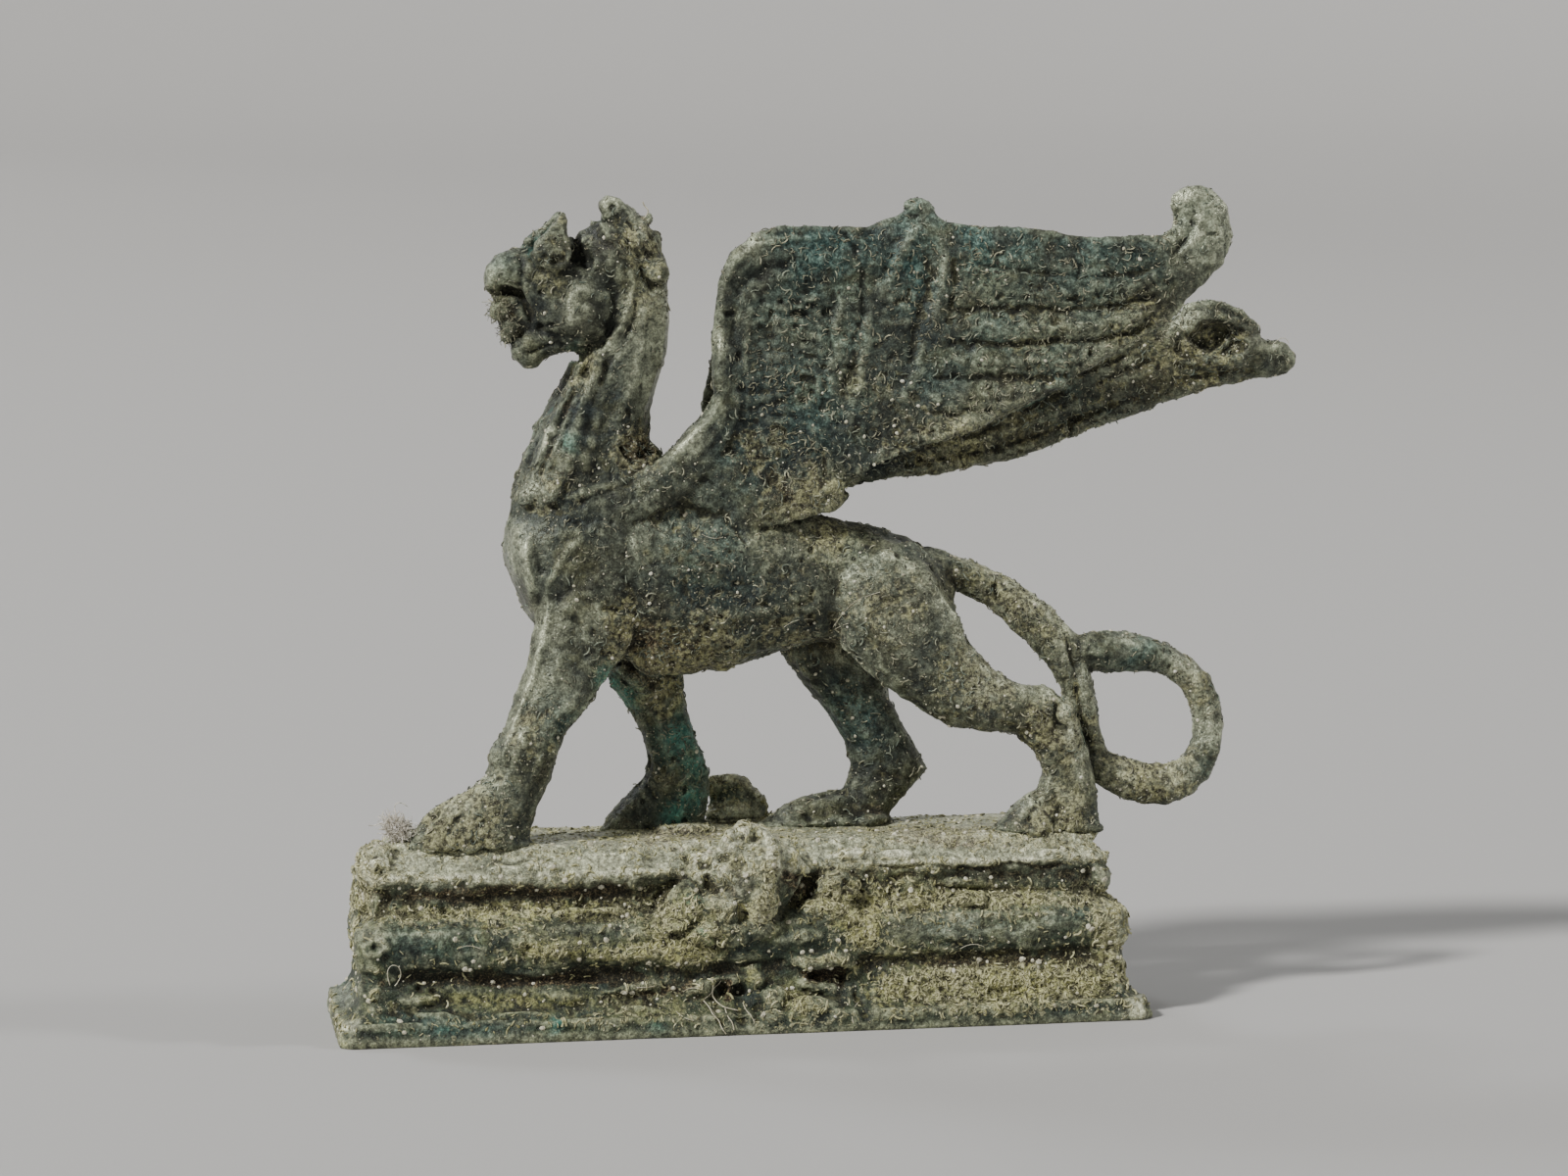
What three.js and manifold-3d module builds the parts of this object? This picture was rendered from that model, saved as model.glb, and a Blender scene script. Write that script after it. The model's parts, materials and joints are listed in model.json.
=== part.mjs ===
// A small cast bronze griffin striding left on its moulded rectangular plinth.
// Millimetres, +Z up. The griffin looks along -X and its near side faces -Y.
// The origin is on the ground under the middle of the whole work.
import * as THREE from 'three';
import { mergeVertices } from 'three/addons/utils/BufferGeometryUtils.js';
import Module from 'manifold-3d';

const wasm = await Module();
wasm.setup();

// Plinth: outer size at the foot, and the cast wall of its hollow underside.
const plinthLength = 61.2;
const plinthDepth = 19;
const plinthWall = 1.8;
const cornerRadius = 0.9;
const farEndInset = 1.2;

// Plinth moulding, from the ground up: each band's height and how far it stands in from the foot's edge.
const footHeight = 1.5;
const footFaceShare = 0.3;
const footInset = 0.25;
const scoopHeight = 2.4;
const scoopInset = 1.9;
const neckHeight = 1.3;
const neckInset = 2.1;
const rollHeight = 3.2;
const rollInset = 1.5;
const rollFullness = 0.6;
const ledgeHeight = 0.9;
const grooveHeight = 2.1;
const grooveInset = 3.2;
const grooveLean = 0.15;
const lipHeight = 0.6;
const lipInset = 2.7;
const lipUndercut = 0.25;
const slopeHeight = 1.8;
const crownInset = 4.8;
const crownRounding = 0.45;

// Lugs in the middle of the long sides: worn leaf-shaped bosses.
const lugWidth = 9.4;
const lugHeight = 8.6;
const lugThickness = 2.6;
const nearLugRise = 1.5;
const nearLugOffset = 0.2;
const nearLugInset = 2.6;
const farLugWidth = 4.8;
const farLugRise = 3.6;
const farLugOffset = 1.7;
const farLugInset = 4.6;
const cornerLumpRadius = 1.7;

// Griffin: height from its soles to the tip of the near wing. Pose and carving are in hundredths of it.
const griffinHeight = 48.2;
const share = griffinHeight / 100;
const figureOffset = 1.2;

// Depth of the figure's parts to either side of its middle plane, in hundredths of its height.
const wingRootShare = 6.4;
const wingTipShare = 9.2;
const wingThickShare = 3.4;
const farWingDroop = 12.4;
const farArmShare = 3.2;
const tailDriftShare = -3.2;

const NEAR = -1;
const FAR = 1;
const ringSides = 10;
const lugSides = 8;

// A closed mesh through rings of points, with its two end rings closed by fans.
function closedMesh(rings) {
  const sides = rings[0].length;
  const positions = [];
  const index = [];
  for (const ring of rings) {
    for (const point of ring) positions.push(point.x, point.y, point.z);
  }
  for (let r = 0; r < rings.length - 1; r++) {
    for (let k = 0; k < sides; k++) {
      const a = r * sides + k;
      const b = r * sides + ((k + 1) % sides);
      index.push(a, b, b + sides, a, b + sides, a + sides);
    }
  }
  for (const end of [0, rings.length - 1]) {
    const middle = new THREE.Vector3();
    for (const point of rings[end]) middle.addScaledVector(point, 1 / sides);
    const hub = positions.length / 3;
    positions.push(middle.x, middle.y, middle.z);
    for (let k = 0; k < sides; k++) {
      const a = end * sides + k;
      const b = end * sides + ((k + 1) % sides);
      if (end === 0) index.push(hub, b, a);
      else index.push(hub, a, b);
    }
  }
  const geometry = new THREE.BufferGeometry();
  geometry.setAttribute('position', new THREE.Float32BufferAttribute(positions, 3));
  geometry.setIndex(index);
  return facingOut(geometry);
}

// Turns a mesh's faces round if they point inwards.
function facingOut(geometry) {
  const at = geometry.getAttribute('position');
  const index = geometry.index;
  const corner = [0, 1, 2].map(() => new THREE.Vector3());
  let volume = 0;
  for (let i = 0; i < index.count; i += 3) {
    corner.forEach((point, k) => point.fromBufferAttribute(at, index.getX(i + k)));
    volume += corner[0].dot(corner[1].cross(corner[2]));
  }
  if (volume < 0) {
    for (let i = 0; i < index.count; i += 3) {
      const second = index.getX(i + 1);
      index.setX(i + 1, index.getX(i + 2));
      index.setX(i + 2, second);
    }
  }
  return geometry;
}

// A three.js geometry as a solid for joining and cutting.
function solid(geometry) {
  const bare = geometry.clone();
  bare.deleteAttribute('normal');
  bare.deleteAttribute('uv');
  const merged = mergeVertices(bare, 1e-4);
  return new wasm.Manifold(new wasm.Mesh({
    numProp: 3,
    vertProperties: new Float32Array(merged.getAttribute('position').array),
    triVerts: new Uint32Array(merged.index.array),
  }));
}

function joined(solids) {
  return solids.reduce((whole, next) => whole.add(next));
}

function meshOf(name, body, material) {
  const made = body.getMesh();
  const geometry = new THREE.BufferGeometry();
  geometry.setAttribute('position', new THREE.BufferAttribute(made.vertProperties, 3));
  geometry.setIndex(new THREE.BufferAttribute(made.triVerts, 1));
  geometry.computeVertexNormals();
  const mesh = new THREE.Mesh(geometry, material);
  mesh.name = name;
  return mesh;
}

// A limb through stations [front x, front z, rear x, rear z, middle y, half width], in hundredths of the
// figure's height. Smooth curves run through the two edges, and an oval section spans them at each step.
function limb(stations, { steps = 1, sides = ringSides, boxy = 1, mirror = 1 } = {}) {
  const curve = (pick) => new THREE.CatmullRomCurve3(stations.map(pick), false, 'catmullrom', 0.5);
  const front = curve((s) => new THREE.Vector3(s[0], 0, s[1]));
  const rear = curve((s) => new THREE.Vector3(s[2], 0, s[3]));
  const width = curve((s) => new THREE.Vector3(s[4] * mirror, s[5], 0));
  const count = (stations.length - 1) * steps;
  const rings = [];
  for (let i = 0; i <= count; i++) {
    const a = front.getPoint(i / count);
    const b = rear.getPoint(i / count);
    const w = width.getPoint(i / count);
    const middle = a.clone().add(b).multiplyScalar(0.5);
    const reach = a.clone().sub(b).multiplyScalar(0.5);
    const ring = [];
    for (let k = 0; k < sides; k++) {
      const angle = (k / sides) * Math.PI * 2;
      const along = squared(Math.cos(angle), boxy);
      const across = squared(Math.sin(angle), boxy);
      ring.push(new THREE.Vector3(
        middle.x + reach.x * along,
        w.x + w.y * across,
        middle.z + reach.z * along,
      ).multiplyScalar(share));
    }
    rings.push(ring);
  }
  return solid(closedMesh(rings));
}

// Softens a cosine or sine towards a square section as boxy drops below 1.
function squared(value, boxy) {
  return Math.sign(value) * Math.abs(value) ** boxy;
}

// A smooth bump of the given half sizes, turned in the side view by tilt degrees.
function bump(x, y, z, alongX, alongY, alongZ, tilt = 0, fine = 8) {
  const geometry = new THREE.SphereGeometry(1, fine, Math.round(fine * 0.6));
  geometry.scale(alongX * share, alongY * share, alongZ * share);
  geometry.rotateY(THREE.MathUtils.degToRad(tilt));
  geometry.translate(x * share, y * share, z * share);
  return solid(geometry);
}

function trunk() {
  return limb([
    [-37.6, 45.0, -36.6, 40.5, 0, 4.6],
    [-37.0, 49.5, -34.0, 34.0, 0, 7.6],
    [-31.4, 55.5, -30.2, 30.5, 0, 8.7],
    [-25.3, 57.3, -24.8, 28.4, 0, 9.3],
    [-17.7, 57.0, -17.6, 26.2, 0, 9.4],
    [-10.1, 55.8, -10.1, 24.4, 0, 9.1],
    [-3.2, 54.2, -3.2, 25.2, 0, 8.7],
    [3.7, 51.8, 3.7, 27.6, 0, 8.1],
    [11.5, 49.3, 11.5, 29.2, 0, 7.7],
    [19.2, 47.6, 18.6, 28.6, 0, 7.9],
    [26.2, 45.2, 24.4, 27.6, 0, 7.8],
    [31.4, 41.8, 29.0, 29.6, 0, 6.2],
    [33.4, 38.4, 32.2, 33.0, 0, 3.4],
  ], { boxy: 0.86 });
}

function neck() {
  return limb([
    [-38.0, 44.3, -8.0, 47.5, 0, 8.3],
    [-36.5, 52.2, -11.4, 55.6, 0, 8.0],
    [-34.4, 59.3, -14.6, 61.3, 0, 7.0],
    [-31.8, 64.5, -14.8, 66.0, 0, 6.1],
    [-28.6, 68.9, -13.7, 69.8, 0, 5.7],
    [-26.3, 73.4, -12.3, 74.4, 0, 5.6],
    [-24.6, 77.9, -11.9, 79.2, 0, 5.7],
    [-24.4, 83.1, -12.0, 84.0, 0, 5.9],
    [-24.8, 89.1, -12.5, 88.9, 0, 5.8],
    [-23.4, 93.6, -14.4, 93.2, 0, 4.6],
    [-20.8, 96.0, -17.2, 95.2, 0, 2.2],
  ]);
}

// Two raised cords with a channel between them run down the front of the neck on each side.
function neckCords(side) {
  const first = [
    [-26.9, 73.2, -25.1, 73.2, 2.6, 1.6],
    [-28.7, 69.5, -26.6, 70.2, 3.0, 1.8],
    [-31.2, 65.0, -28.9, 66.0, 3.2, 2.1],
    [-33.3, 60.6, -30.8, 61.4, 3.7, 2.3],
    [-35.2, 56.1, -32.5, 56.8, 4.2, 2.4],
    [-36.6, 51.8, -34.2, 52.0, 4.4, 2.2],
  ];
  const second = [
    [-24.6, 74.0, -22.6, 74.2, 4.6, 1.6],
    [-26.2, 69.1, -23.8, 69.7, 4.8, 1.8],
    [-27.9, 64.6, -25.2, 65.3, 5.4, 1.8],
    [-29.6, 60.1, -26.6, 60.8, 6.2, 1.9],
    [-31.4, 56.0, -28.0, 56.8, 7.0, 1.9],
    [-33.6, 52.0, -30.4, 52.8, 6.8, 1.7],
  ];
  return [first, second].map((stations) => limb(stations, { sides: 6, mirror: side }));
}

function skull() {
  return limb([
    [-20.0, 94.6, -19.4, 76.4, 0, 5.0],
    [-24.2, 94.6, -23.4, 75.2, 0, 5.7],
    [-27.4, 92.8, -27.4, 75.3, 0, 5.6],
    [-30.4, 91.6, -30.6, 76.6, 0, 5.1],
    [-33.2, 90.9, -33.4, 80.2, 0, 4.2],
    [-36.0, 90.9, -35.2, 84.0, 0, 3.3],
    [-38.6, 89.9, -38.0, 84.6, 0, 2.9],
    [-40.3, 87.8, -40.0, 84.4, 0, 2.0],
    [-40.7, 86.0, -40.5, 84.2, 0, 0.8],
  ], { boxy: 0.9 });
}

// The lower jaw hangs open and ends in a blunt downward tip.
function jaw() {
  return limb([
    [-25.6, 80.0, -25.2, 74.6, 0, 3.9],
    [-29.4, 79.4, -28.6, 74.8, 0, 3.5],
    [-32.8, 79.2, -31.2, 74.0, 0, 2.7],
    [-35.4, 78.0, -32.4, 72.5, 0, 2.1],
    [-36.6, 76.0, -34.0, 72.2, 0, 1.7],
    [-36.4, 74.6, -35.4, 73.2, 0, 0.8],
  ]);
}

// The clogged mouth between beak and jaw.
function mouthPlug() {
  return limb([
    [-31.0, 84.5, -30.6, 77.6, 0, 2.6],
    [-35.0, 85.2, -34.2, 77.8, 0, 2.4],
    [-38.6, 84.8, -36.6, 79.4, 0, 1.9],
    [-39.8, 84.0, -38.6, 81.4, 0, 1.0],
  ]);
}

// A leaf-shaped brow stands off each side of the head, with a thin raised rear edge.
function brow(side) {
  return limb([
    [-29.0, 96.2, -28.3, 96.1, 1.6, 0.7],
    [-31.2, 93.9, -28.1, 94.0, 3.2, 1.5],
    [-33.6, 92.0, -27.6, 92.0, 4.0, 1.9],
    [-34.6, 90.2, -27.3, 90.2, 4.3, 2.0],
    [-33.4, 88.3, -27.9, 88.4, 4.4, 1.8],
    [-31.4, 87.0, -29.6, 87.1, 4.2, 1.0],
  ], { sides: 10, mirror: side });
}

function headDetails(side) {
  return [
    bump(-25.4, side * 2.6, 82.0, 5.6, 3.9, 6.6, 10),
    bump(-20.6, side * 3.4, 89.0, 3.6, 3.0, 6.4, -24),
    bump(-14.7, side * 4.9, 87.2, 2.1, 1.9, 2.1, 0, 6),
    bump(-17.4, side * 4.0, 92.0, 1.8, 2.2, 2.8, -30, 6),
  ];
}

function crest() {
  return [
    bump(-20.8, 0, 96.4, 2.2, 2.4, 2.4),
    bump(-17.0, 0, 94.4, 2.0, 2.2, 1.8, 40, 6),
    bump(-14.7, 0, 91.9, 1.6, 2.2, 2.2, -30, 6),
  ];
}

// The deep socket behind each brow, which also notches the top outline.
function earSocket(side) {
  return bump(-26.3, side * 5.4, 91.4, 1.5, 2.6, 4.6, -14);
}

function nearFrontLeg() {
  return limb([
    [-33.0, 46.0, -20.0, 47.0, -4.0, 5.2],
    [-34.0, 39.8, -16.6, 37.4, -5.4, 4.8],
    [-34.2, 34.5, -18.4, 30.4, -6.0, 4.4],
    [-35.4, 27.3, -23.7, 23.7, -6.4, 4.1],
    [-37.4, 22.1, -26.3, 20.1, -6.6, 3.9],
    [-39.3, 17.6, -29.5, 16.9, -6.8, 3.8],
    [-41.2, 14.2, -30.5, 13.9, -7.0, 3.8],
    [-41.9, 10.9, -31.6, 9.8, -7.0, 3.7],
    [-44.4, 8.6, -33.6, 5.8, -7.2, 3.7],
    [-46.6, 4.6, -35.2, 0.6, -7.2, 3.7],
    [-47.4, 0.0, -36.0, -3.0, -7.2, 3.6],
  ], { boxy: 0.9 });
}

function farFrontLeg() {
  return limb([
    [-27.0, 47.0, -15.0, 47.0, 3.2, 4.0],
    [-25.6, 40.0, -11.0, 39.0, 4.2, 4.8],
    [-22.6, 31.4, -8.6, 30.4, 4.9, 4.5],
    [-20.4, 22.5, -8.7, 22.2, 5.4, 3.8],
    [-17.3, 18.6, -8.2, 18.2, 5.5, 3.5],
    [-15.5, 14.7, -7.0, 14.5, 5.5, 3.4],
    [-14.6, 11.0, -5.7, 11.2, 5.5, 3.4],
    [-15.2, 8.2, -5.0, 8.3, 5.5, 3.5],
    [-17.5, 5.8, -4.8, 4.9, 5.5, 3.6],
    [-18.6, 2.0, -5.2, 1.4, 5.5, 3.6],
    [-18.8, -2.0, -5.4, -2.0, 5.5, 3.5],
  ], { boxy: 0.9 });
}

function nearHindLeg() {
  return limb([
    [14.2, 43.4, 12.8, 33.0, -3.6, 4.6],
    [20.8, 45.6, 14.6, 28.4, -5.2, 5.2],
    [27.6, 42.0, 17.4, 25.7, -6.0, 5.2],
    [32.2, 35.2, 21.6, 22.3, -6.4, 4.8],
    [34.0, 29.4, 26.3, 19.1, -6.6, 4.3],
    [37.8, 25.0, 31.0, 16.4, -6.6, 3.9],
    [42.2, 22.8, 36.8, 15.3, -6.6, 3.6],
    [46.8, 22.0, 41.6, 14.7, -6.6, 3.4],
    [50.4, 19.4, 44.4, 12.0, -6.6, 3.3],
    [53.2, 13.0, 45.8, 8.6, -6.6, 3.3],
    [54.8, 5.6, 44.8, 4.4, -6.6, 3.5],
    [55.2, -2.6, 43.2, -2.6, -6.6, 3.4],
  ], { boxy: 0.9 });
}

function farHindLeg() {
  return limb([
    [12.0, 44.6, 25.0, 43.6, 3.0, 3.6],
    [8.2, 39.0, 27.6, 38.0, 4.4, 4.9],
    [6.6, 32.6, 26.2, 32.0, 5.2, 5.0],
    [6.8, 27.0, 23.6, 25.4, 5.5, 4.6],
    [10.2, 22.2, 24.0, 19.8, 5.5, 4.2],
    [14.4, 16.8, 25.9, 16.2, 5.5, 3.7],
    [17.2, 12.6, 28.2, 12.0, 5.5, 3.4],
    [18.0, 9.4, 30.3, 8.0, 5.5, 3.3],
    [16.8, 5.8, 27.6, 4.8, 5.5, 3.4],
    [15.0, 2.0, 24.6, 1.6, 5.5, 3.4],
    [14.6, -2.0, 24.4, -2.0, 5.5, 3.3],
  ], { boxy: 0.9 });
}

// A paw runs forward from the ankle. Its stations are [x, top z, half width], and three toes swell at its
// front end.
function paw(stations, y) {
  const depth = -4;
  const foot = limb(stations.map(([x, top, half]) => [x, top, x, depth, y, half]), { sides: 8, boxy: 0.85 });
  const [toeX, toeTop, toeHalf] = stations[stations.length - 2];
  const toes = [-1, 0, 1].map((k) => bump(toeX + 1.2 + Math.abs(k) * 0.7, y + k * toeHalf * 0.62,
    toeTop * 0.42, 2.7, toeHalf * 0.42, toeTop * 0.62, 0, 6));
  return [foot, ...toes];
}

function paws() {
  return [
    ...paw([
      [-36.2, 2.6, 2.6],
      [-38.8, 7.5, 3.8],
      [-44.1, 8.6, 4.1],
      [-47.9, 7.4, 4.1],
      [-50.8, 5.2, 3.9],
      [-53.0, 2.6, 3.0],
      [-53.8, 0.2, 1.4],
    ], -7.4),
    ...paw([
      [-6.2, 2.4, 2.6],
      [-8.4, 6.5, 3.4],
      [-13.8, 7.0, 3.8],
      [-17.5, 5.8, 3.8],
      [-19.9, 3.0, 3.4],
      [-21.6, 0.2, 1.8],
    ], 5.6),
    ...paw([
      [54.6, 3.0, 2.8],
      [50.1, 6.6, 3.5],
      [45.3, 6.2, 3.8],
      [42.5, 4.8, 3.8],
      [40.6, 2.6, 3.4],
      [39.4, -0.2, 1.8],
    ], -6.7),
    ...paw([
      [23.8, 3.0, 2.8],
      [19.9, 5.6, 3.4],
      [15.2, 5.2, 3.7],
      [9.7, 4.2, 3.7],
      [6.6, 2.8, 3.4],
      [3.8, 0.0, 1.8],
    ], 5.6),
  ];
}

// The tail runs down from the rump to the near hock, turns out into a loop and comes back to itself.
function tail() {
  const half = 2.3;
  const drop = limb([
    [29.0, 44.0, 26.0, 36.0, -0.4, 3.4],
    [37.1, 41.4, 32.4, 37.0, -0.6, 2.8],
    [43.0, 38.2, 38.7, 33.9, -1.0, half],
    [48.4, 34.2, 43.7, 29.3, tailDriftShare * 0.5, half],
    [52.7, 29.6, 47.2, 25.6, tailDriftShare * 0.75, half],
    [55.0, 22.8, 49.7, 21.4, tailDriftShare, half],
    [55.9, 15.6, 50.7, 14.8, tailDriftShare, half],
    [57.4, 11.6, 53.1, 8.0, tailDriftShare, half],
    [61.0, 9.8, 59.4, 4.1, tailDriftShare, half],
  ], { sides: 8 });
  const loop = limb([
    [57.2, 11.8, 53.4, 7.6, tailDriftShare, half],
    [61.0, 10.0, 59.2, 3.9, tailDriftShare, 2.5],
    [66.6, 9.0, 67.2, 2.2, tailDriftShare * 0.8, 2.6],
    [70.3, 10.8, 74.3, 6.4, tailDriftShare * 0.5, 2.4],
    [71.7, 15.1, 76.8, 14.7, tailDriftShare * 0.3, 2.3],
    [70.1, 19.8, 74.7, 22.3, tailDriftShare * 0.3, 2.3],
    [66.2, 22.9, 68.1, 27.6, tailDriftShare * 0.4, 2.5],
    [60.2, 23.5, 60.9, 29.9, tailDriftShare * 0.6, 2.7],
    [54.9, 23.9, 54.6, 30.2, tailDriftShare * 0.75, 2.6],
    [50.6, 25.2, 50.6, 29.0, tailDriftShare * 0.75, 1.8],
  ], { steps: 2, sides: 8 });
  return [drop, loop];
}

// Wing outline in hundredths of the figure's height, as four edges of one patch.
const wingFront = [
  [-3.4, 90.3], [-5.4, 86.6], [-6.2, 79.6], [-6.3, 70.5], [-6.0, 64.0], [-5.0, 56.0], [-3.4, 48.0],
];
const wingTop = [
  [-3.4, 90.3], [0.4, 93.1], [6.0, 94.2], [13.4, 94.0], [19.0, 94.1], [22.8, 95.9], [25.2, 97.7],
  [27.8, 96.6], [30.5, 94.6], [42.7, 93.5], [53.6, 92.1], [62.2, 92.2], [66.1, 92.2],
];
const wingTip = [
  [66.1, 92.2], [70.0, 85.4], [65.6, 79.5], [58.4, 75.6], [51.2, 71.1], [44.4, 66.8], [35.8, 63.6],
  [28.4, 61.1], [19.6, 60.0],
];
const wingFoot = [[-3.4, 48.0], [4.2, 48.4], [10.4, 50.2], [14.0, 55.0], [19.6, 60.0]];
const wingRoot = [-4.4, 62];
const wingColumns = 24;
const wingRows = 14;
const featherCount = 7;
const covertEnds = [0.17, 0.31, 0.43];
const frontBorderShare = 0.055;
const topBorderShare = 0.12;
const borderFadeShare = 0.03;

// Shares of the wing's thickness, either side of its middle surface, and how they thin out at the rim.
const outerShare = 0.26;
const reliefShare = 0.26;
const innerShare = 0.34;
const rimShare = 0.28;
const rimRate = 9;

// A point on the wing's patch: s runs from the front edge to the tip, t from the top edge to the foot.
function wingPatch() {
  const edge = (points) => new THREE.CatmullRomCurve3(points.map(([x, z]) => new THREE.Vector3(x, 0, z)));
  const [front, top, tip, foot] = [wingFront, wingTop, wingTip, wingFoot].map(edge);
  const corners = [top.getPointAt(0), top.getPointAt(1), foot.getPointAt(0), foot.getPointAt(1)];
  return (s, t) => {
    const point = new THREE.Vector3();
    point.addScaledVector(top.getPointAt(s), 1 - t).addScaledVector(foot.getPointAt(s), t);
    point.addScaledVector(front.getPointAt(t), 1 - s).addScaledVector(tip.getPointAt(t), s);
    point.addScaledVector(corners[0], -(1 - s) * (1 - t)).addScaledVector(corners[1], -s * (1 - t));
    point.addScaledVector(corners[2], -(1 - s) * t).addScaledVector(corners[3], -s * t);
    return point;
  };
}

// Height of the feather carving on the outer face, from 0 to 1: a raised border along the front and top,
// stepped rows of coverts, then long primaries that overlap downwards.
function featherHeight(s, t) {
  const border = Math.max(bandWeight(s, frontBorderShare), bandWeight(t, topBorderShare));
  const row = covertEnds.findIndex((end) => s < end);
  const begin = row < 1 ? 0 : covertEnds[row - 1];
  const coverts = row < 0 ? 0 : 0.35 + 0.35 * ((s - begin) / (covertEnds[row] - begin));
  const feather = (t * featherCount) % 1;
  const primaries = 0.15 + 0.5 * (1 - feather) ** 0.7;
  const inner = row < 0 ? primaries : coverts;
  return Math.max(border, inner);
}

function bandWeight(distance, width) {
  return distance < width ? 1 : Math.max(0, 1 - (distance - width) / borderFadeShare);
}

// One wing as a thin curved plate. Its outer face carries the feathers. Its inner face is plainer, so its
// grid is half as fine.
function wing(side) {
  const patch = wingPatch();
  const droop = side === FAR ? THREE.MathUtils.degToRad(farWingDroop) : 0;
  const outer = [];
  const inner = [];
  for (let j = 0; j <= wingRows; j++) {
    const t = easedEnds(j / wingRows);
    for (let i = 0; i <= wingColumns; i++) {
      const s = easedEnds(i / wingColumns);
      const point = patch(s, t);
      const rim = Math.min(1, rimShare + rimRate * Math.min(s, 1 - s, t, 1 - t));
      const relief = wingThickShare * (outerShare + reliefShare * featherHeight(s, t)) * rim;
      const back = wingThickShare * innerShare * rim;
      const spread = wingRootShare + (wingTipShare - wingRootShare) * s ** 1.3;
      outer.push(placed(point, side * (spread + relief), droop));
      if (i % 2 === 0 && j % 2 === 0) inner.push(placed(point, side * (spread - back), droop));
    }
  }
  return solid(plate(outer, inner, wingColumns, wingRows));
}

// Draws the grid lines closer together near both ends.
function easedEnds(value) {
  return value - 0.045 * Math.sin(value * Math.PI * 2);
}

function placed(point, y, droop) {
  const dx = point.x - wingRoot[0];
  const dz = point.z - wingRoot[1];
  return new THREE.Vector3(
    wingRoot[0] + dx * Math.cos(droop) + dz * Math.sin(droop),
    y,
    wingRoot[1] - dx * Math.sin(droop) + dz * Math.cos(droop),
  ).multiplyScalar(share);
}

// Two grids closed along their borders: the outer one has the given columns and rows, the inner one half
// of each.
function plate(outer, inner, columns, rows) {
  const positions = [];
  for (const point of [...outer, ...inner]) positions.push(point.x, point.y, point.z);
  const index = [];
  const back = outer.length;
  gridFaces(index, 0, columns, rows, false);
  gridFaces(index, back, columns / 2, rows / 2, true);
  const rim = gridBorder(0, columns, rows);
  const backRim = gridBorder(back, columns / 2, rows / 2);
  backRim.forEach((b, k) => {
    const nextB = backRim[(k + 1) % backRim.length];
    const [a, middle, nextA] = [0, 1, 2].map((step) => rim[(2 * k + step) % rim.length]);
    index.push(middle, a, b, nextA, middle, nextB, middle, b, nextB);
  });
  const geometry = new THREE.BufferGeometry();
  geometry.setAttribute('position', new THREE.Float32BufferAttribute(positions, 3));
  geometry.setIndex(index);
  return facingOut(geometry);
}

function gridFaces(index, first, columns, rows, turned) {
  for (let j = 0; j < rows; j++) {
    for (let i = 0; i < columns; i++) {
      const a = first + j * (columns + 1) + i;
      const [b, c, d] = [a + 1, a + columns + 2, a + columns + 1];
      if (turned) index.push(a, c, b, a, d, c);
      else index.push(a, b, c, a, c, d);
    }
  }
}

function gridBorder(first, columns, rows) {
  const at = (i, j) => first + j * (columns + 1) + i;
  const border = [];
  for (let i = 0; i < columns; i++) border.push(at(i, 0));
  for (let j = 0; j < rows; j++) border.push(at(columns, j));
  for (let i = columns; i > 0; i--) border.push(at(i, rows));
  for (let j = rows; j > 0; j--) border.push(at(0, j));
  return border;
}

// The near wing's tip curls up into a blunt hook.
function nearWingHook() {
  const y = -wingTipShare;
  return limb([
    [53.0, 90.6, 55.0, 79.0, y + 0.4, 0.6],
    [60.3, 91.8, 64.4, 80.2, y, 1.5],
    [63.8, 92.6, 69.8, 83.4, y, 1.9],
    [65.6, 93.6, 73.6, 87.6, y, 2.1],
    [65.7, 95.0, 75.3, 92.0, y, 2.1],
    [65.0, 97.0, 74.6, 96.6, y, 2.0],
    [65.4, 98.5, 72.2, 98.9, y, 1.7],
    [67.0, 99.6, 69.8, 99.9, y, 0.9],
  ]);
}

// The far wing ends in a knob. Before it a rounded shell is hollowed towards the near side, under an
// arched rim.
function farWingTip() {
  const y = wingTipShare;
  const knob = limb([
    [64.0, 78.0, 62.0, 63.6, y, 1.2],
    [70.4, 78.6, 69.8, 64.9, y, 1.7],
    [76.6, 78.4, 76.8, 66.8, y, 1.9],
    [82.4, 77.0, 83.2, 68.2, y, 2.0],
    [86.2, 74.8, 86.8, 68.7, y, 2.1],
    [89.4, 74.2, 89.4, 69.2, y, 2.0],
    [90.8, 72.6, 90.6, 70.4, y, 1.1],
  ]);
  const shell = bump(77.8, y - 0.8, 75.4, 8.4, 3.6, 5.9, 14);
  const hollow = bump(77.4, y - 4.6, 75.0, 5.4, 3.8, 3.5, 14);
  return knob.add(shell).subtract(hollow);
}

// The muscle that carries each wing is a raised band from the shoulder to the wing's front edge.
function wingArm(side) {
  const back = side === FAR ? farArmShare : 0;
  return limb([
    [-30.5 + back, 53.2, -28.6 + back, 47.6, 5.4, 2.2],
    [-24.4 + back, 54.2, -22.4 + back, 48.0, 6.2, 2.6],
    [-19.5 + back, 55.4, -16.8 + back, 49.4, 6.6, 2.9],
    [-15.2 + back, 57.9, -11.0 + back, 52.6, 6.8, 2.9],
    [-11.4 + back, 61.8, -6.2 + back, 57.4, 6.8, 2.7],
    [-8.3 + back, 65.0, -2.8 + back, 62.4, 6.8, 2.4],
    [-6.4 + back, 68.6, -1.6 + back, 67.8, 7.2, 1.6],
    [-6.2 + back, 76.0, -2.6 + back, 75.8, 7.5, 0.7],
  ], { sides: 8, mirror: side });
}

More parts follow.
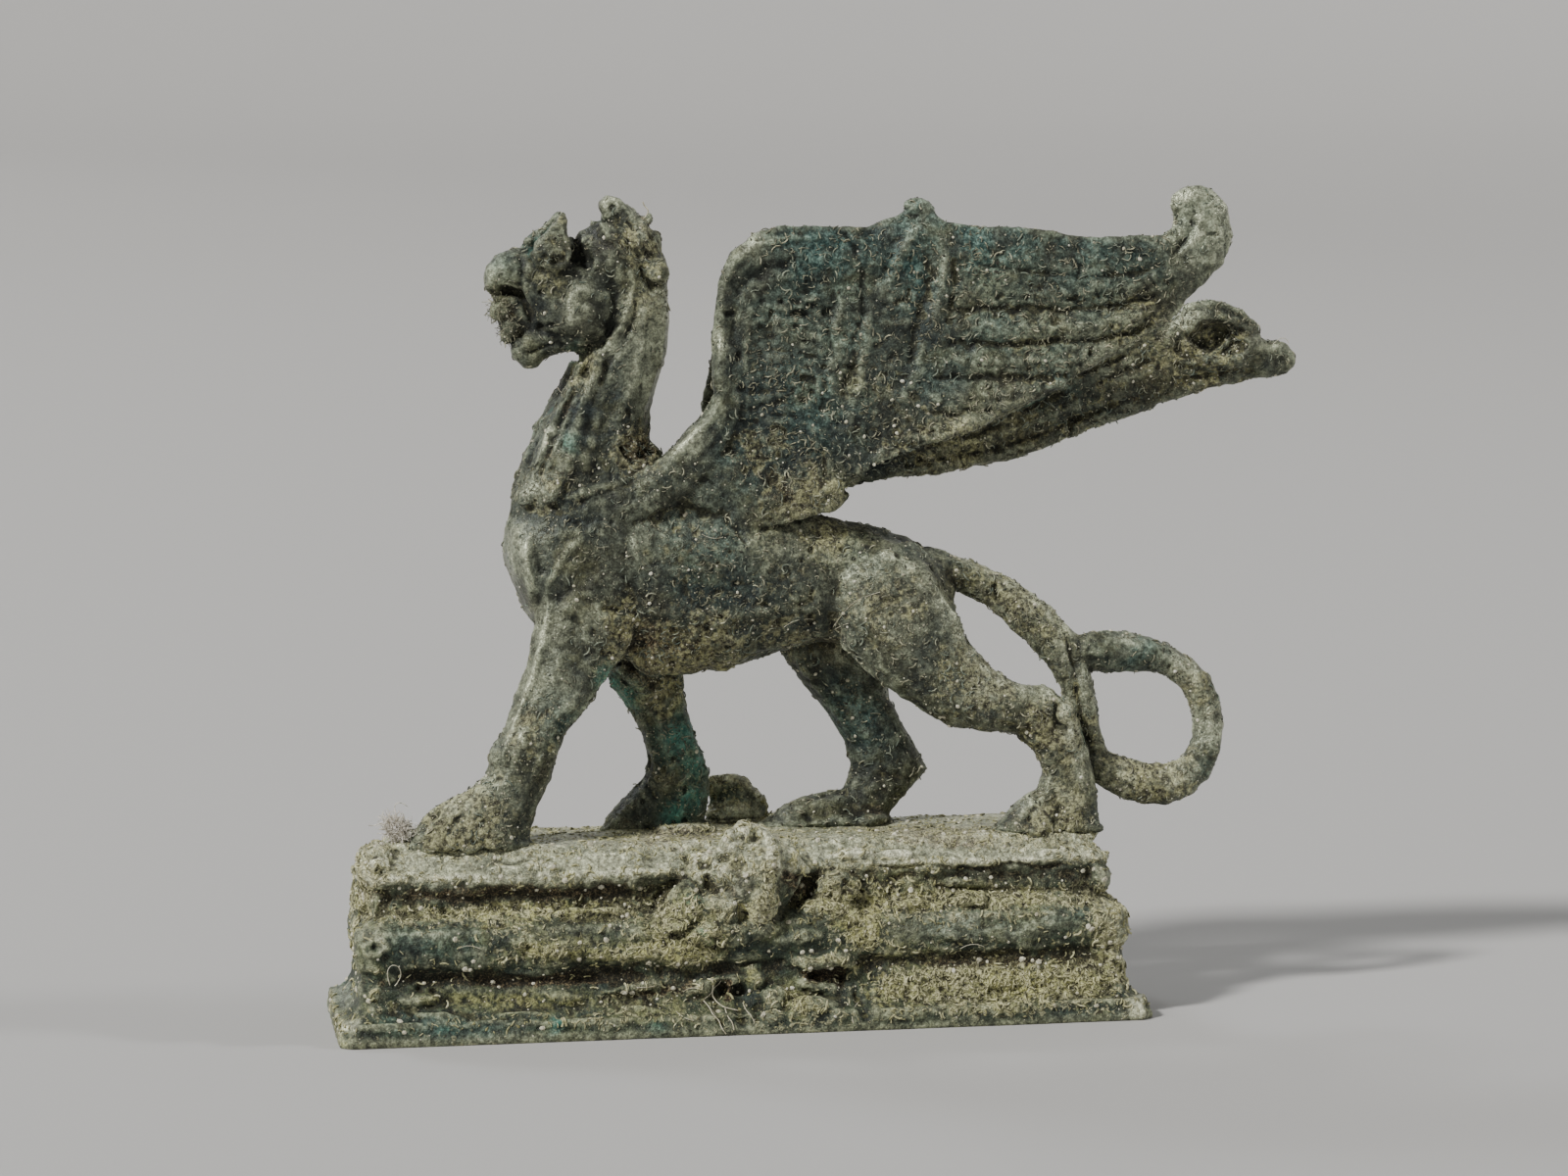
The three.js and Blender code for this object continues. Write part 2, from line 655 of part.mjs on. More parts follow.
// Shoulder, breast and haunch. The far shoulder and haunch stand over their own legs, further inward.
function bodyMuscles(side) {
  const shoulderX = side === NEAR ? -25.4 : -20.6;
  const haunchX = side === NEAR ? 22.2 : 17.6;
  return [
    bump(shoulderX, side * 3.5, 41.2, 9.4, 5.6, 12.4, 12),
    bump(-31.8, side * 2.6, 44.0, 5.2, 5.0, 7.4, -20),
    bump(haunchX, side * 3.9, 35.4, 9.8, 5.6, 10.6, 20),
  ];
}

// Everything below the soles is cut away level with the plinth's top.
function groundCutter() {
  const width = griffinHeight * 3;
  const box = new THREE.BoxGeometry(width, width, width);
  box.translate(0, 0, -width / 2);
  return solid(box);
}

function griffinSolid() {
  let body = joined([
    trunk(),
    neck(),
    skull(),
    jaw(),
    mouthPlug(),
    ...crest(),
    nearFrontLeg(),
    farFrontLeg(),
    nearHindLeg(),
    farHindLeg(),
    ...paws(),
    ...tail(),
    ...[NEAR, FAR].flatMap((side) => [
      ...neckCords(side),
      brow(side),
      ...headDetails(side),
      ...bodyMuscles(side),
      wingArm(side),
      wing(side),
    ]),
    nearWingHook(),
    farWingTip(),
  ]);
  for (const side of [NEAR, FAR]) body = body.subtract(earSocket(side));
  return body.subtract(groundCutter());
}

// The plinth's moulding as [height, inset] pairs from the ground up.
function plinthProfile() {
  const points = [[0, 0], [footHeight * footFaceShare, 0]];
  let z = footHeight;
  points.push([z, footInset]);
  const scoopSteps = 4;
  for (let i = 1; i <= scoopSteps; i++) {
    const turn = (i / scoopSteps) * (Math.PI / 2);
    const inset = footInset + (scoopInset - footInset) * Math.sin(turn);
    points.push([z + scoopHeight * (1 - Math.cos(turn)), inset]);
  }
  z += scoopHeight;
  points.push([z + neckHeight * 0.5, neckInset]);
  z += neckHeight;
  const rollSteps = 5;
  for (let i = 0; i <= rollSteps; i++) {
    const turn = (i / rollSteps) * Math.PI;
    const inset = neckInset + (rollInset - neckInset) * Math.sin(turn) ** rollFullness;
    points.push([z + rollHeight * 0.5 * (1 - Math.cos(turn)), inset]);
  }
  z += rollHeight + ledgeHeight;
  points.push([z, grooveInset]);
  z += grooveHeight;
  points.push([z - grooveHeight / 3, grooveInset + grooveLean]);
  points.push([z, lipInset + lipUndercut]);
  z += lipHeight;
  points.push([z, lipInset]);
  z += slopeHeight;
  points.push([z - slopeHeight * 0.12, crownInset - crownRounding]);
  points.push([z, crownInset]);
  return points;
}

const plinthHeight = footHeight + scoopHeight + neckHeight + rollHeight + ledgeHeight + grooveHeight
  + lipHeight + slopeHeight;

// A rectangle with rounded corners at one height, a little shorter along its far side.
function roundedRing(inset, radius, z) {
  const ring = [];
  const cornerSteps = 1;
  const halfDepth = plinthDepth / 2 - inset;
  for (let corner = 0; corner < 4; corner++) {
    const signX = corner === 0 || corner === 3 ? 1 : -1;
    const signY = corner < 2 ? 1 : -1;
    const halfLength = plinthLength / 2 - inset - (signY > 0 ? farEndInset : 0);
    for (let k = 0; k <= cornerSteps; k++) {
      const turn = (corner + k / cornerSteps) * (Math.PI / 2);
      ring.push(new THREE.Vector3(
        signX * (halfLength - radius) + radius * Math.cos(turn),
        signY * (halfDepth - radius) + radius * Math.sin(turn),
        z,
      ));
    }
  }
  return ring;
}

function plinthBlock() {
  return solid(closedMesh(plinthProfile().map(([z, inset]) => roundedRing(inset, cornerRadius, z))));
}

// The hollow under the plinth narrows upwards and leaves the wall all round and above.
function plinthHollow() {
  const rings = [
    [-plinthWall, neckInset + plinthWall - footInset],
    [footHeight + scoopHeight, neckInset + plinthWall],
    [plinthHeight - slopeHeight - lipHeight - grooveHeight, grooveInset + plinthWall],
    [plinthHeight - plinthWall, crownInset + plinthWall * 0.5],
  ];
  return solid(closedMesh(rings.map(([z, inset]) => roundedRing(inset, cornerRadius, z))));
}

// A worn leaf-shaped boss. Its stations are [height, left reach, right reach, thickness] as shares of its
// own size.
function lug(width, height, thickness, x, y, top, stations) {
  const rings = stations.map(([rise, left, right, thick]) => {
    const ring = [];
    for (let k = 0; k < lugSides; k++) {
      const angle = (k / lugSides) * Math.PI * 2;
      const reach = Math.cos(angle);
      ring.push(new THREE.Vector3(
        x + width * (reach < 0 ? -left : right) * Math.abs(reach),
        y + thickness * thick * Math.sin(angle),
        top - height * (1 - rise),
      ));
    }
    return ring;
  });
  return solid(closedMesh(rings));
}

const nearLugShape = [
  [0, 0.2, 0.2, 0.3],
  [0.2, 0.34, 0.26, 0.42],
  [0.42, 0.46, 0.38, 0.5],
  [0.6, 0.54, 0.48, 0.52],
  [0.75, 0.34, 0.38, 0.46],
  [0.88, 0.2, 0.2, 0.36],
  [1, 0.08, 0.06, 0.16],
];
const farLugShape = [
  [0, 0.5, 0.5, 0.4],
  [0.35, 0.5, 0.52, 0.42],
  [0.6, 0.5, 0.42, 0.4],
  [0.8, 0.46, 0.26, 0.34],
  [0.92, 0.42, 0.1, 0.26],
  [1, 0.36, -0.08, 0.12],
];

function plinthSolid() {
  const cornerLump = new THREE.SphereGeometry(cornerLumpRadius, 8, 6);
  cornerLump.scale(1, 1.5, 1.25);
  cornerLump.translate(
    crownInset * 0.72 - plinthLength / 2,
    -plinthDepth * 0.2,
    plinthHeight - slopeHeight * 0.75,
  );
  const nearY = nearLugInset - plinthDepth / 2;
  const nearTop = plinthHeight + nearLugRise;
  const farY = plinthDepth / 2 - farLugInset;
  const farTop = plinthHeight + farLugRise;
  return joined([
    plinthBlock(),
    lug(lugWidth, lugHeight, lugThickness, nearLugOffset, nearY, nearTop, nearLugShape),
    lug(farLugWidth, farLugRise * 1.5, lugThickness, farLugOffset, farY, farTop, farLugShape),
    solid(cornerLump),
  ]).subtract(plinthHollow());
}

const bronze = new THREE.MeshStandardMaterial({ color: 0x39433c, roughness: 0.62, metalness: 0.7 });
const crustedBronze = new THREE.MeshStandardMaterial({ color: 0x5e6147, roughness: 0.85, metalness: 0.35 });

const figure = meshOf('griffin', griffinSolid(), bronze);
figure.position.set(figureOffset, 0, plinthHeight);

const statue = new THREE.Group();
statue.add(figure, meshOf('plinth', plinthSolid(), crustedBronze));

const middle = new THREE.Box3().setFromObject(statue).getCenter(new THREE.Vector3());
statue.position.set(-middle.x, -middle.y, 0);

export default statue;
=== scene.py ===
import json
import math

import bmesh
import bpy
import numpy as np
from mathutils import Matrix, Vector
from mathutils.bvhtree import BVHTree
from mathutils.kdtree import KDTree

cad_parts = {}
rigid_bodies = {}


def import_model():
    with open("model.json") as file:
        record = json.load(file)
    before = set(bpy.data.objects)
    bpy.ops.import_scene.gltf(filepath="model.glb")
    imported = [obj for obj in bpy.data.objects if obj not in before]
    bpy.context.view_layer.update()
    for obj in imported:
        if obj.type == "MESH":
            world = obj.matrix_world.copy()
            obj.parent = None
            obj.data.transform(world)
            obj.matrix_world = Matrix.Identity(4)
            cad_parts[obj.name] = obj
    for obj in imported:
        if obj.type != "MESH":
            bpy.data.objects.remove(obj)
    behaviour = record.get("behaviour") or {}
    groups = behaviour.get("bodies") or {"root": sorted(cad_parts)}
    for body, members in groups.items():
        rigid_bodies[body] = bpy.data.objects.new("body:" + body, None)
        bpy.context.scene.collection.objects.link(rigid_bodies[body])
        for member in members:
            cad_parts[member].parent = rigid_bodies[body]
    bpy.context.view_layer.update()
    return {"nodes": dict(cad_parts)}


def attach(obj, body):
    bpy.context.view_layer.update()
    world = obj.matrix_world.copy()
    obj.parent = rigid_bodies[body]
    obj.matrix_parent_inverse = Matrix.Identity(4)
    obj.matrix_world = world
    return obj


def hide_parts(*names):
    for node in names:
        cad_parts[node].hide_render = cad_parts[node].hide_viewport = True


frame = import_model()
scene = bpy.context.scene
mm = 0.001  # the carving is in mm, Blender in metres

photoView = {
    "position": (-87.13, -409.70, 75.98),  # mm
    "target": (-3.19, -0.82, 32.10),
    "lens": 129.15,
    "sensor": 36.0,
    "width": 1600,
    "height": 1200,
}
studio = {
    "floorTone": (0.46, 0.455, 0.445, 1.0),
    "floorRoughness": 0.9,
    "worldTone": (0.86, 0.88, 0.92, 1.0),
    "worldPower": 0.2,
    "flatReach": 2.6,  # m
    "wallCurve": 1.6,
    "wallHeight": 3.0,
    "sides": 72,
    "curveSteps": 14,
    "lamps": [  # name, direction it comes from, power, spread in degrees, tone
        ("keyLamp", (-0.80, -0.46, 0.80), 3.7, 7, (1.0, 0.985, 0.96)),
        ("rightLamp", (0.86, -0.16, 0.62), 2.6, 9, (1.0, 0.99, 0.97)),
        ("backLamp", (-0.45, 0.80, 0.70), 1.2, 18, (0.96, 0.98, 1.0)),
    ],
    "aim": (0, 0, 0.03),
}


def aimed(place, target):
    return (Vector(target) - Vector(place)).to_track_quat("-Z", "Y").to_euler()


def placed(name, data):  # a new object in the scene
    made = bpy.data.objects.new(name, data)
    scene.collection.objects.link(made)
    return made


def plainMesh(holder):  # what the holder shows, as a mesh of its own; the holder and its data go
    mesh = bpy.data.meshes.new_from_object(holder.evaluated_get(bpy.context.evaluated_depsgraph_get()))
    bpy.data.batch_remove((holder, holder.data))
    return mesh


def addCamera():
    lens = bpy.data.cameras.new("photoCamera")
    lens.lens = photoView["lens"]
    lens.sensor_width = photoView["sensor"]
    lens.clip_start = 0.01
    lens.clip_end = 10.0
    camera = placed("photoCamera", lens)
    camera.location = [v * mm for v in photoView["position"]]
    camera.rotation_euler = aimed(photoView["position"], photoView["target"])
    scene.camera = camera


def addFloor():  # a wide round floor that curves up into a wall, so no horizon shows from any side
    dish = bmesh.new()
    curve = studio["wallCurve"]
    reach = studio["flatReach"]
    sides = studio["sides"]
    bend = np.linspace(0.12, math.pi / 2, studio["curveSteps"])
    profile = [(0.4, 0.0), (1.2, 0.0), (reach, 0.0)]
    profile += [(reach + curve * math.sin(t), curve - curve * math.cos(t)) for t in bend]
    profile.append((reach + curve, studio["wallHeight"]))
    turns = [2 * math.pi * k / sides for k in range(sides)]
    rings = []
    for radius, height in profile:
        rings.append([dish.verts.new((radius * math.cos(t), radius * math.sin(t), height)) for t in turns])
    dish.faces.new(rings[0])
    for inner, outer in zip(rings[:-1], rings[1:]):
        for k in range(sides):
            after = (k + 1) % sides
            dish.faces.new((inner[k], outer[k], outer[after], inner[after]))
    mesh = bpy.data.meshes.new("studioDish")
    dish.to_mesh(mesh)
    dish.free()
    mesh.shade_smooth()
    floor = placed("studioDish", mesh)
    paper = bpy.data.materials.new("studioPaper")
    paper.use_nodes = True
    shader = paper.node_tree.nodes["Principled BSDF"]
    shader.inputs["Base Color"].default_value = studio["floorTone"]
    shader.inputs["Roughness"].default_value = studio["floorRoughness"]
    mesh.materials.append(paper)


def addLight():
    world = bpy.data.worlds.new("studioAir")
    world.use_nodes = True
    air = world.node_tree.nodes["Background"].inputs
    air["Color"].default_value = studio["worldTone"]
    air["Strength"].default_value = studio["worldPower"]
    scene.world = world
    for name, source, power, blur, tone in studio["lamps"]:
        data = bpy.data.lights.new(name, "SUN")
        data.energy = power
        data.angle = math.radians(blur)
        data.color = tone
        lamp = placed(name, data)
        lamp.location = source
        lamp.rotation_euler = aimed(source, studio["aim"])


addCamera()
addFloor()
addLight()
print("studio ready")

eye = np.array(photoView["position"])
ahead = np.array(photoView["target"]) - eye
ahead /= np.linalg.norm(ahead)
rightward = np.cross(ahead, (0, 0, 1))
rightward /= np.linalg.norm(rightward)
upward = np.cross(rightward, ahead)
focal = photoView["lens"] / photoView["sensor"] * photoView["width"]
centreU = photoView["width"] / 2
centreV = photoView["height"] / 2


def toPhoto(points):
    away = points - eye
    depth = away @ ahead
    u = centreU + focal * (away @ rightward) / depth
    v = centreV - focal * (away @ upward) / depth
    return np.stack([u, v], 1)


def fromPhoto(u, v, y):  # the point in mm that a photo pixel shows at the given depth
    ray = ahead + rightward * (u - centreU) / focal - upward * (v - centreV) / focal
    return eye + ray * (y - eye[1]) / ray[1]


def readArray(items, key, kind, width):
    flat = np.empty(len(items) * width, kind)
    items.foreach_get(key, flat)
    return flat.reshape(-1, width)


def readPoints(mesh):
    return readArray(mesh.vertices, "co", np.float32, 3).astype(float) * 1000


def readNormals(mesh):
    return readArray(mesh.vertices, "normal", np.float32, 3).astype(float)


def writePoints(mesh, points):
    mesh.vertices.foreach_set("co", (points * mm).astype(np.float32).ravel())
    mesh.update()


def pushed(mesh, points, lift, normals):  # the skin moved along its normals
    points = points + normals * lift[:, None]
    writePoints(mesh, points)
    return points


def spread(values, edges, rounds, share=0.5):  # each point's value drawn towards its neighbours' mean
    count = len(values)
    links = np.bincount(edges.ravel(), minlength=count).astype(float)
    links[links == 0] = 1
    flat = values.reshape(count, -1).astype(float).copy()
    for _ in range(rounds):
        for k in range(flat.shape[1]):
            column = flat[:, k]
            total = np.bincount(edges[:, 0], column[edges[:, 1]], count)
            total += np.bincount(edges[:, 1], column[edges[:, 0]], count)
            flat[:, k] = column + share * (total / links - column)
    return flat.reshape(values.shape)


def relaxed(points, edges, rounds):  # smoothing that keeps the volume
    for _ in range(rounds):
        points = spread(points, edges, 1, 0.55)
        points = spread(points, edges, 1, -0.57)
    return points


def steps(low, high, value):
    t = np.clip((value - low) / (high - low), 0, 1)
    return t * t * (3 - 2 * t)


noiseCells = 64  # a power of two
noiseTables = {}


def lumps(points, size, seed):  # smooth three-dimensional noise from -1 to 1
    if seed not in noiseTables:
        noiseTables[seed] = np.random.default_rng(seed).uniform(-1, 1, (noiseCells, noiseCells, noiseCells))
    table = noiseTables[seed]
    spot = points / size + 1000
    cell = np.floor(spot).astype(int)
    part = spot - cell
    part = part * part * (3 - 2 * part)
    shares = (1 - part, part)
    cells = (cell & (noiseCells - 1), (cell + 1) & (noiseCells - 1))
    total = 0
    for i, j, k in np.ndindex(2, 2, 2):
        share = shares[i][:, 0] * shares[j][:, 1] * shares[k][:, 2]
        total = total + share * table[cells[i][:, 0], cells[j][:, 1], cells[k][:, 2]]
    return total


def crustLump(form, centre, half, turn, seed):  # joins on an uneven ellipsoid, all in mm
    ball = bmesh.new()
    bmesh.ops.create_icosphere(ball, subdivisions=3, radius=1.0)
    spots = np.array([corner.co for corner in ball.verts])
    swell = 1 + 0.20 * lumps(spots + seed, 0.75, 90) + 0.14 * lumps(spots + seed, 0.38, 91)
    for corner, share in zip(ball.verts, swell):
        corner.co *= share
    place = Matrix.Translation(Vector(centre) * mm) @ Matrix.Rotation(math.radians(turn), 4, "Y")
    ball.transform(place @ Matrix.Diagonal((half[0] * mm, half[1] * mm, half[2] * mm, 1)))
    scratch = bpy.data.meshes.new("scratch")
    ball.to_mesh(scratch)
    ball.free()
    form.from_mesh(scratch)
    bpy.data.meshes.remove(scratch)


def clayFrom(node, voxel, relax, extras):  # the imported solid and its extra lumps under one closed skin
    form = bmesh.new()
    form.from_mesh(frame["nodes"][node].data)
    bmesh.ops.remove_doubles(form, verts=form.verts, dist=2e-6)
    for k, (centre, half, turn) in enumerate(extras):
        crustLump(form, centre, half, turn, 3.7 * k)
    rough = bpy.data.meshes.new("roughForm")
    form.to_mesh(rough)
    form.free()
    holder = placed("roughForm", rough)
    remesh = holder.modifiers.new("clay", "REMESH")
    remesh.mode = "VOXEL"
    remesh.voxel_size = voxel * mm
    remesh.adaptivity = 0
    mesh = plainMesh(holder)
    edges = readArray(mesh.edges, "vertices", np.int32, 2)
    points = relaxed(readPoints(mesh), edges, relax)
    writePoints(mesh, points)
    print(node, "clay:", len(points), "points")
    return mesh, edges, points, readNormals(mesh)


def seenBy(mesh, points, normals, edges, rounds, mirror=False):  # how well the camera sees each point
    polygons = [tuple(face.vertices) for face in mesh.polygons]
    tree = BVHTree.FromPolygons((points * mm).tolist(), polygons)
    aim = eye * (1, -1 if mirror else 1, 1) - points
    aim /= np.linalg.norm(aim, axis=1)[:, None]
    seen = np.zeros(len(points))
    for k in np.nonzero((normals * aim).sum(1) > 0.02)[0]:
        start = (points[k] + normals[k] * 0.12 + aim[k] * 0.05) * mm
        if tree.ray_cast(start, aim[k])[0] is None:
            seen[k] = 1
    return spread(seen, edges, rounds)


def besideLine(pixels, path):  # distance to the line and how far along it, 0 to 1
    line = np.array(path, float)
    if len(line) == 1:
        return np.linalg.norm(pixels - line[0], axis=1), np.full(len(pixels), 0.5)
    lengths = np.linalg.norm(np.diff(line, axis=0), axis=1)
    begun = np.concatenate([[0], np.cumsum(lengths)])
    best = np.full(len(pixels), 1e9)
    along = np.zeros(len(pixels))
    for k in range(len(lengths)):
        a, b = line[k], line[k + 1]
        t = np.clip(((pixels - a) @ (b - a)) / lengths[k] ** 2, 0, 1)
        gap = np.linalg.norm(pixels - (a + t[:, None] * (b - a)), axis=1)
        nearer = gap < best
        best[nearer] = gap[nearer]
        along[nearer] = ((begun[k] + t * lengths[k]) / begun[-1])[nearer]
    return best, along


def strokeField(pixels, strokes):  # sum of strokes (path, width in px, height in mm)
    field = np.zeros(len(pixels))
    for path, width, rise in strokes:
        line = np.array(path, float)
        reach = width * 2.2
        near = np.nonzero(((pixels > line.min(0) - reach) & (pixels < line.max(0) + reach)).all(1))[0]
        if not len(near):
            continue
        gap, along = besideLine(pixels[near], path)
        fade = 1.0
        if len(path) > 1:
            fade = steps(-0.04, 0.16, along) * steps(-0.04, 0.16, 1 - along)
        field[near] += rise * np.exp(-(gap / width) ** 2 * 1.4) * fade
    return field


def patches(pixels, seen, spots):  # soft painted spots (u, v, radius in px, strength)
    total = np.zeros(len(pixels))
    for u, v, radius, strength in spots:
        gap = np.hypot(pixels[:, 0] - u, pixels[:, 1] - v)
        total = np.maximum(total, strength * np.exp(-(gap / radius) ** 2))
    return total * seen


def waved(path, wander, seed, pieces=5):  # a path with more points and a slightly unsteady hand
    rng = np.random.default_rng(seed)
    line = np.array(path, float)
    made = []
    for a, b in zip(line[:-1], line[1:]):
        for k in range(pieces):
            made.append(a + (b - a) * k / pieces + rng.normal(0, wander, 2))
    made.append(line[-1])
    return [tuple(p) for p in made]


def hollowAndRidge(mesh, points, edges, voxel):
    normals = readNormals(mesh)
    scale = (0.225 / voxel) ** 2  # the smoothing reaches equally far on a skin of any fineness
    fine = ((spread(points, edges, round(5 * scale), 0.6) - points) * normals).sum(1)
    broad = ((spread(points, edges, round(36 * scale), 0.8) - points) * normals).sum(1)
    both = fine * 3.4 + broad * 0.9
    return steps(0.02, 0.42, both), steps(0.02, 0.42, -both)


def finishedSkin(name, mesh, points, layers, triangles):  # fewer faces where it is flat, same layers
    holder = placed("thickSkin", mesh)
    cut = holder.modifiers.new("thinner", "DECIMATE")
    cut.ratio = min(1.0, triangles / sum(len(face.vertices) - 2 for face in mesh.polygons))
    lean = plainMesh(holder)
    finder = KDTree(len(points))
    for k, point in enumerate(points):
        finder.insert(point, k)
    finder.balance()
    nearest = np.array([finder.find(point)[1] for point in readPoints(lean)])
    for key, values in layers.items():
        layer = lean.attributes.new(key, "FLOAT", "POINT")
        layer.data.foreach_set("value", np.clip(values, 0, 1).astype(np.float32)[nearest])
    lean.shade_smooth()
    print(name, len(lean.polygons), "faces")
    return placed(name, lean)


griffin = {
    "voxel": 0.155,  # mm
    "relax": 26,
    "triangles": 186000,
    "wingRoot": (-8.104, 43.684),  # x and z, where the wing turns on the body
    "wingDroop": 12.4,  # degrees that the far wing hangs lower
    "deck": 13.9,  # z of the plinth's top
    "pawPrints": [  # x, y, reach along and across
        (-27.6, -3.6, 4.6, 1.9), (16.7, -3.2, 3.9, 1.8), (-12.4, 2.7, 4.0, 1.8), (0.9, 2.7, 4.9, 1.8),
    ],
    "pawLumps": 16,  # round each of them
    "corrosion": [(3.2, 0.10), (1.5, 0.08), (0.75, 0.08), (0.42, 0.075)],  # lump size and height
}
# carving as lines over the photo: pixels, width in pixels, height in mm
headStrokes = [
    ([(577, 222), (581, 236), (583, 248), (582, 260), (577, 268), (571, 274)], 2.4, 0.25),
    ([(580, 224), (585, 240), (589, 254), (591, 266)], 5.5, -0.6),
    ([(584, 262), (592, 268)], 4, -0.35),
    ([(556, 262)], 4, -0.4),
    ([(567, 266)], 5, -0.55),
    ([(551, 268)], 3.5, -0.3),
    ([(560, 270), (561, 258)], 2.4, 0.2),
    ([(548, 246), (558, 240), (570, 228)], 3, 0.14),
    ([(562, 246), (570, 244)], 3, -0.16),
    ([(584, 219), (602, 219), (612, 228), (622, 241), (632, 252), (639, 264)], 2.8, 0.22),
    ([(592, 228), (604, 236), (614, 247), (622, 256)], 7, -0.18),
    ([(613, 218), (614, 208), (620, 203), (630, 204), (638, 212), (644, 222)], 2.8, 0.18),
    ([(624, 212)], 4.5, -0.25),
    ([(611, 220), (610, 212)], 2.4, -0.3),
    ([(640, 226), (652, 242), (662, 262)], 2.6, -0.16),
    ([(650, 224), (662, 240), (673, 262)], 2.6, 0.16),
    ([(632, 230), (645, 250), (650, 268)], 2.6, 0.12),
    ([(628, 236), (638, 252)], 2.6, -0.14),
    ([(664, 265), (674, 268), (678, 278), (673, 287)], 4, 0.18),
    ([(655, 270), (656, 282), (664, 291), (676, 292)], 3, -0.35),
    ([(644, 260)], 4, 0.2),
    ([(503, 268), (499, 280), (499, 296)], 3, 0.12),
    ([(510, 295), (520, 297), (529, 299), (534, 306), (540, 318), (545, 330)], 3.6, -0.5),
    ([(512, 287), (524, 291), (532, 296)], 2.6, 0.14),
    ([(530, 262), (534, 272), (532, 284)], 3.5, -0.2),
    ([(538, 288), (537, 300), (541, 312)], 3, 0.15),
    ([(538, 344), (542, 354)], 4, 0.18),
    ([(534, 360), (545, 358), (560, 352), (575, 349)], 3, -0.28),
    ([(590, 282), (586, 300), (583, 318), (585, 334)], 7, 0.14),
    ([(612, 306), (610, 322), (616, 338)], 10, -0.2),
    ([(552, 292), (550, 308), (556, 324)], 9, -0.16),
    ([(566, 276), (582, 282), (600, 281)], 4, -0.1),
    ([(562, 284)], 5, 0.14),
    ([(573, 288)], 3, 0.12),
    ([(597, 287)], 3, 0.1),
    ([(557, 340), (575, 344), (592, 348)], 5, -0.14),
    ([(641, 268), (646, 290), (641, 315), (634, 334), (622, 350), (610, 366), (601, 382)], 3.2, 0.2),
    ([(650, 300), (647, 322), (641, 340), (629, 358), (617, 376)], 3.5, -0.18),
    ([(628, 328), (618, 344), (606, 355)], 4, -0.2),
]
neckStrokes = [
    ([(590, 392), (579, 410), (571, 430), (565, 446), (559, 462), (552, 478), (546, 492)], 4.5, -0.34),
    ([(604, 388), (594, 410), (586, 432), (577, 455), (568, 478), (560, 492)], 4, 0.2),
    ([(583, 396), (570, 416), (559, 440), (550, 462), (543, 484)], 2.6, 0.12),
    ([(610, 392), (603, 420), (597, 446), (592, 468)], 7, -0.2),
    ([(640, 380), (636, 410), (630, 436)], 6, 0.07),
    ([(662, 300), (661, 340), (658, 380), (652, 420)], 3, -0.14),
    ([(676, 300), (678, 340), (674, 380), (668, 410)], 4, 0.1),
    ([(632, 452), (640, 466), (650, 474)], 3, -0.4),
    ([(648, 446), (655, 455), (668, 462)], 2.6, -0.3),
    ([(640, 444), (650, 438)], 3, 0.12),
    ([(560, 500), (549, 512), (540, 524)], 6, -0.1),
]
bodyStrokes = [
    ([(737, 404), (731, 422), (716, 438), (701, 452), (683, 466), (660, 482), (632, 493), (600, 502),
      (566, 511)], 4.5, 0.26),
    ([(742, 436), (726, 460), (702, 480), (676, 498), (645, 512), (606, 528)], 11, -0.24),
    ([(539, 545), (537, 563), (540, 583), (546, 600)], 2.8, 0.2),
    ([(550, 548), (548, 568), (553, 588)], 7, -0.2),
    ([(600, 545), (587, 556), (575, 570), (566, 585), (556, 600)], 4.5, 0.26),
    ([(612, 572), (596, 590), (578, 605), (560, 612)], 10, -0.26),
    ([(646, 545), (650, 575), (656, 606)], 3, 0.1),
    ([(672, 575), (668, 598), (662, 618)], 3.2, 0.14),
    ([(636, 560), (640, 590), (648, 615)], 5, -0.08),
    ([(690, 598), (725, 606), (762, 600)], 16, -0.22),
    ([(650, 580), (700, 582), (760, 577)], 3, 0.08),
    ([(783, 572), (778, 600), (774, 626)], 4.5, 0.16),
    ([(800, 560), (802, 600), (798, 640)], 9, -0.12),
    ([(880, 565), (886, 605), (880, 645)], 20, 0.14),
    ([(590, 624), (585, 646), (578, 668)], 8, -0.2),
    ([(608, 612), (612, 632), (617, 652)], 4, 0.14),
    ([(560, 625), (554, 650), (548, 675)], 6, 0.14),
    ([(628, 640), (645, 662), (655, 685)], 9, -0.18),
    ([(700, 650), (740, 656), (780, 648)], 8, 0.08),
    ([(750, 540), (762, 556)], 4, -0.3),
    ([(740, 548)], 5, -0.2),
    ([(756, 562), (780, 548), (800, 540)], 6, 0.14),
    ([(762, 438), (770, 455), (777, 470), (786, 488), (800, 504), (816, 519)], 9, -0.16),
    ([(772, 432), (782, 452), (790, 470)], 4, 0.14),
    ([(790, 478), (806, 496), (826, 508)], 5, 0.14),
    ([(830, 560), (850, 590), (846, 640)], 7, -0.08),
    ([(905, 555), (940, 575), (962, 606)], 6, 0.12),
    ([(930, 600), (948, 640), (968, 675)], 9, -0.12),
]
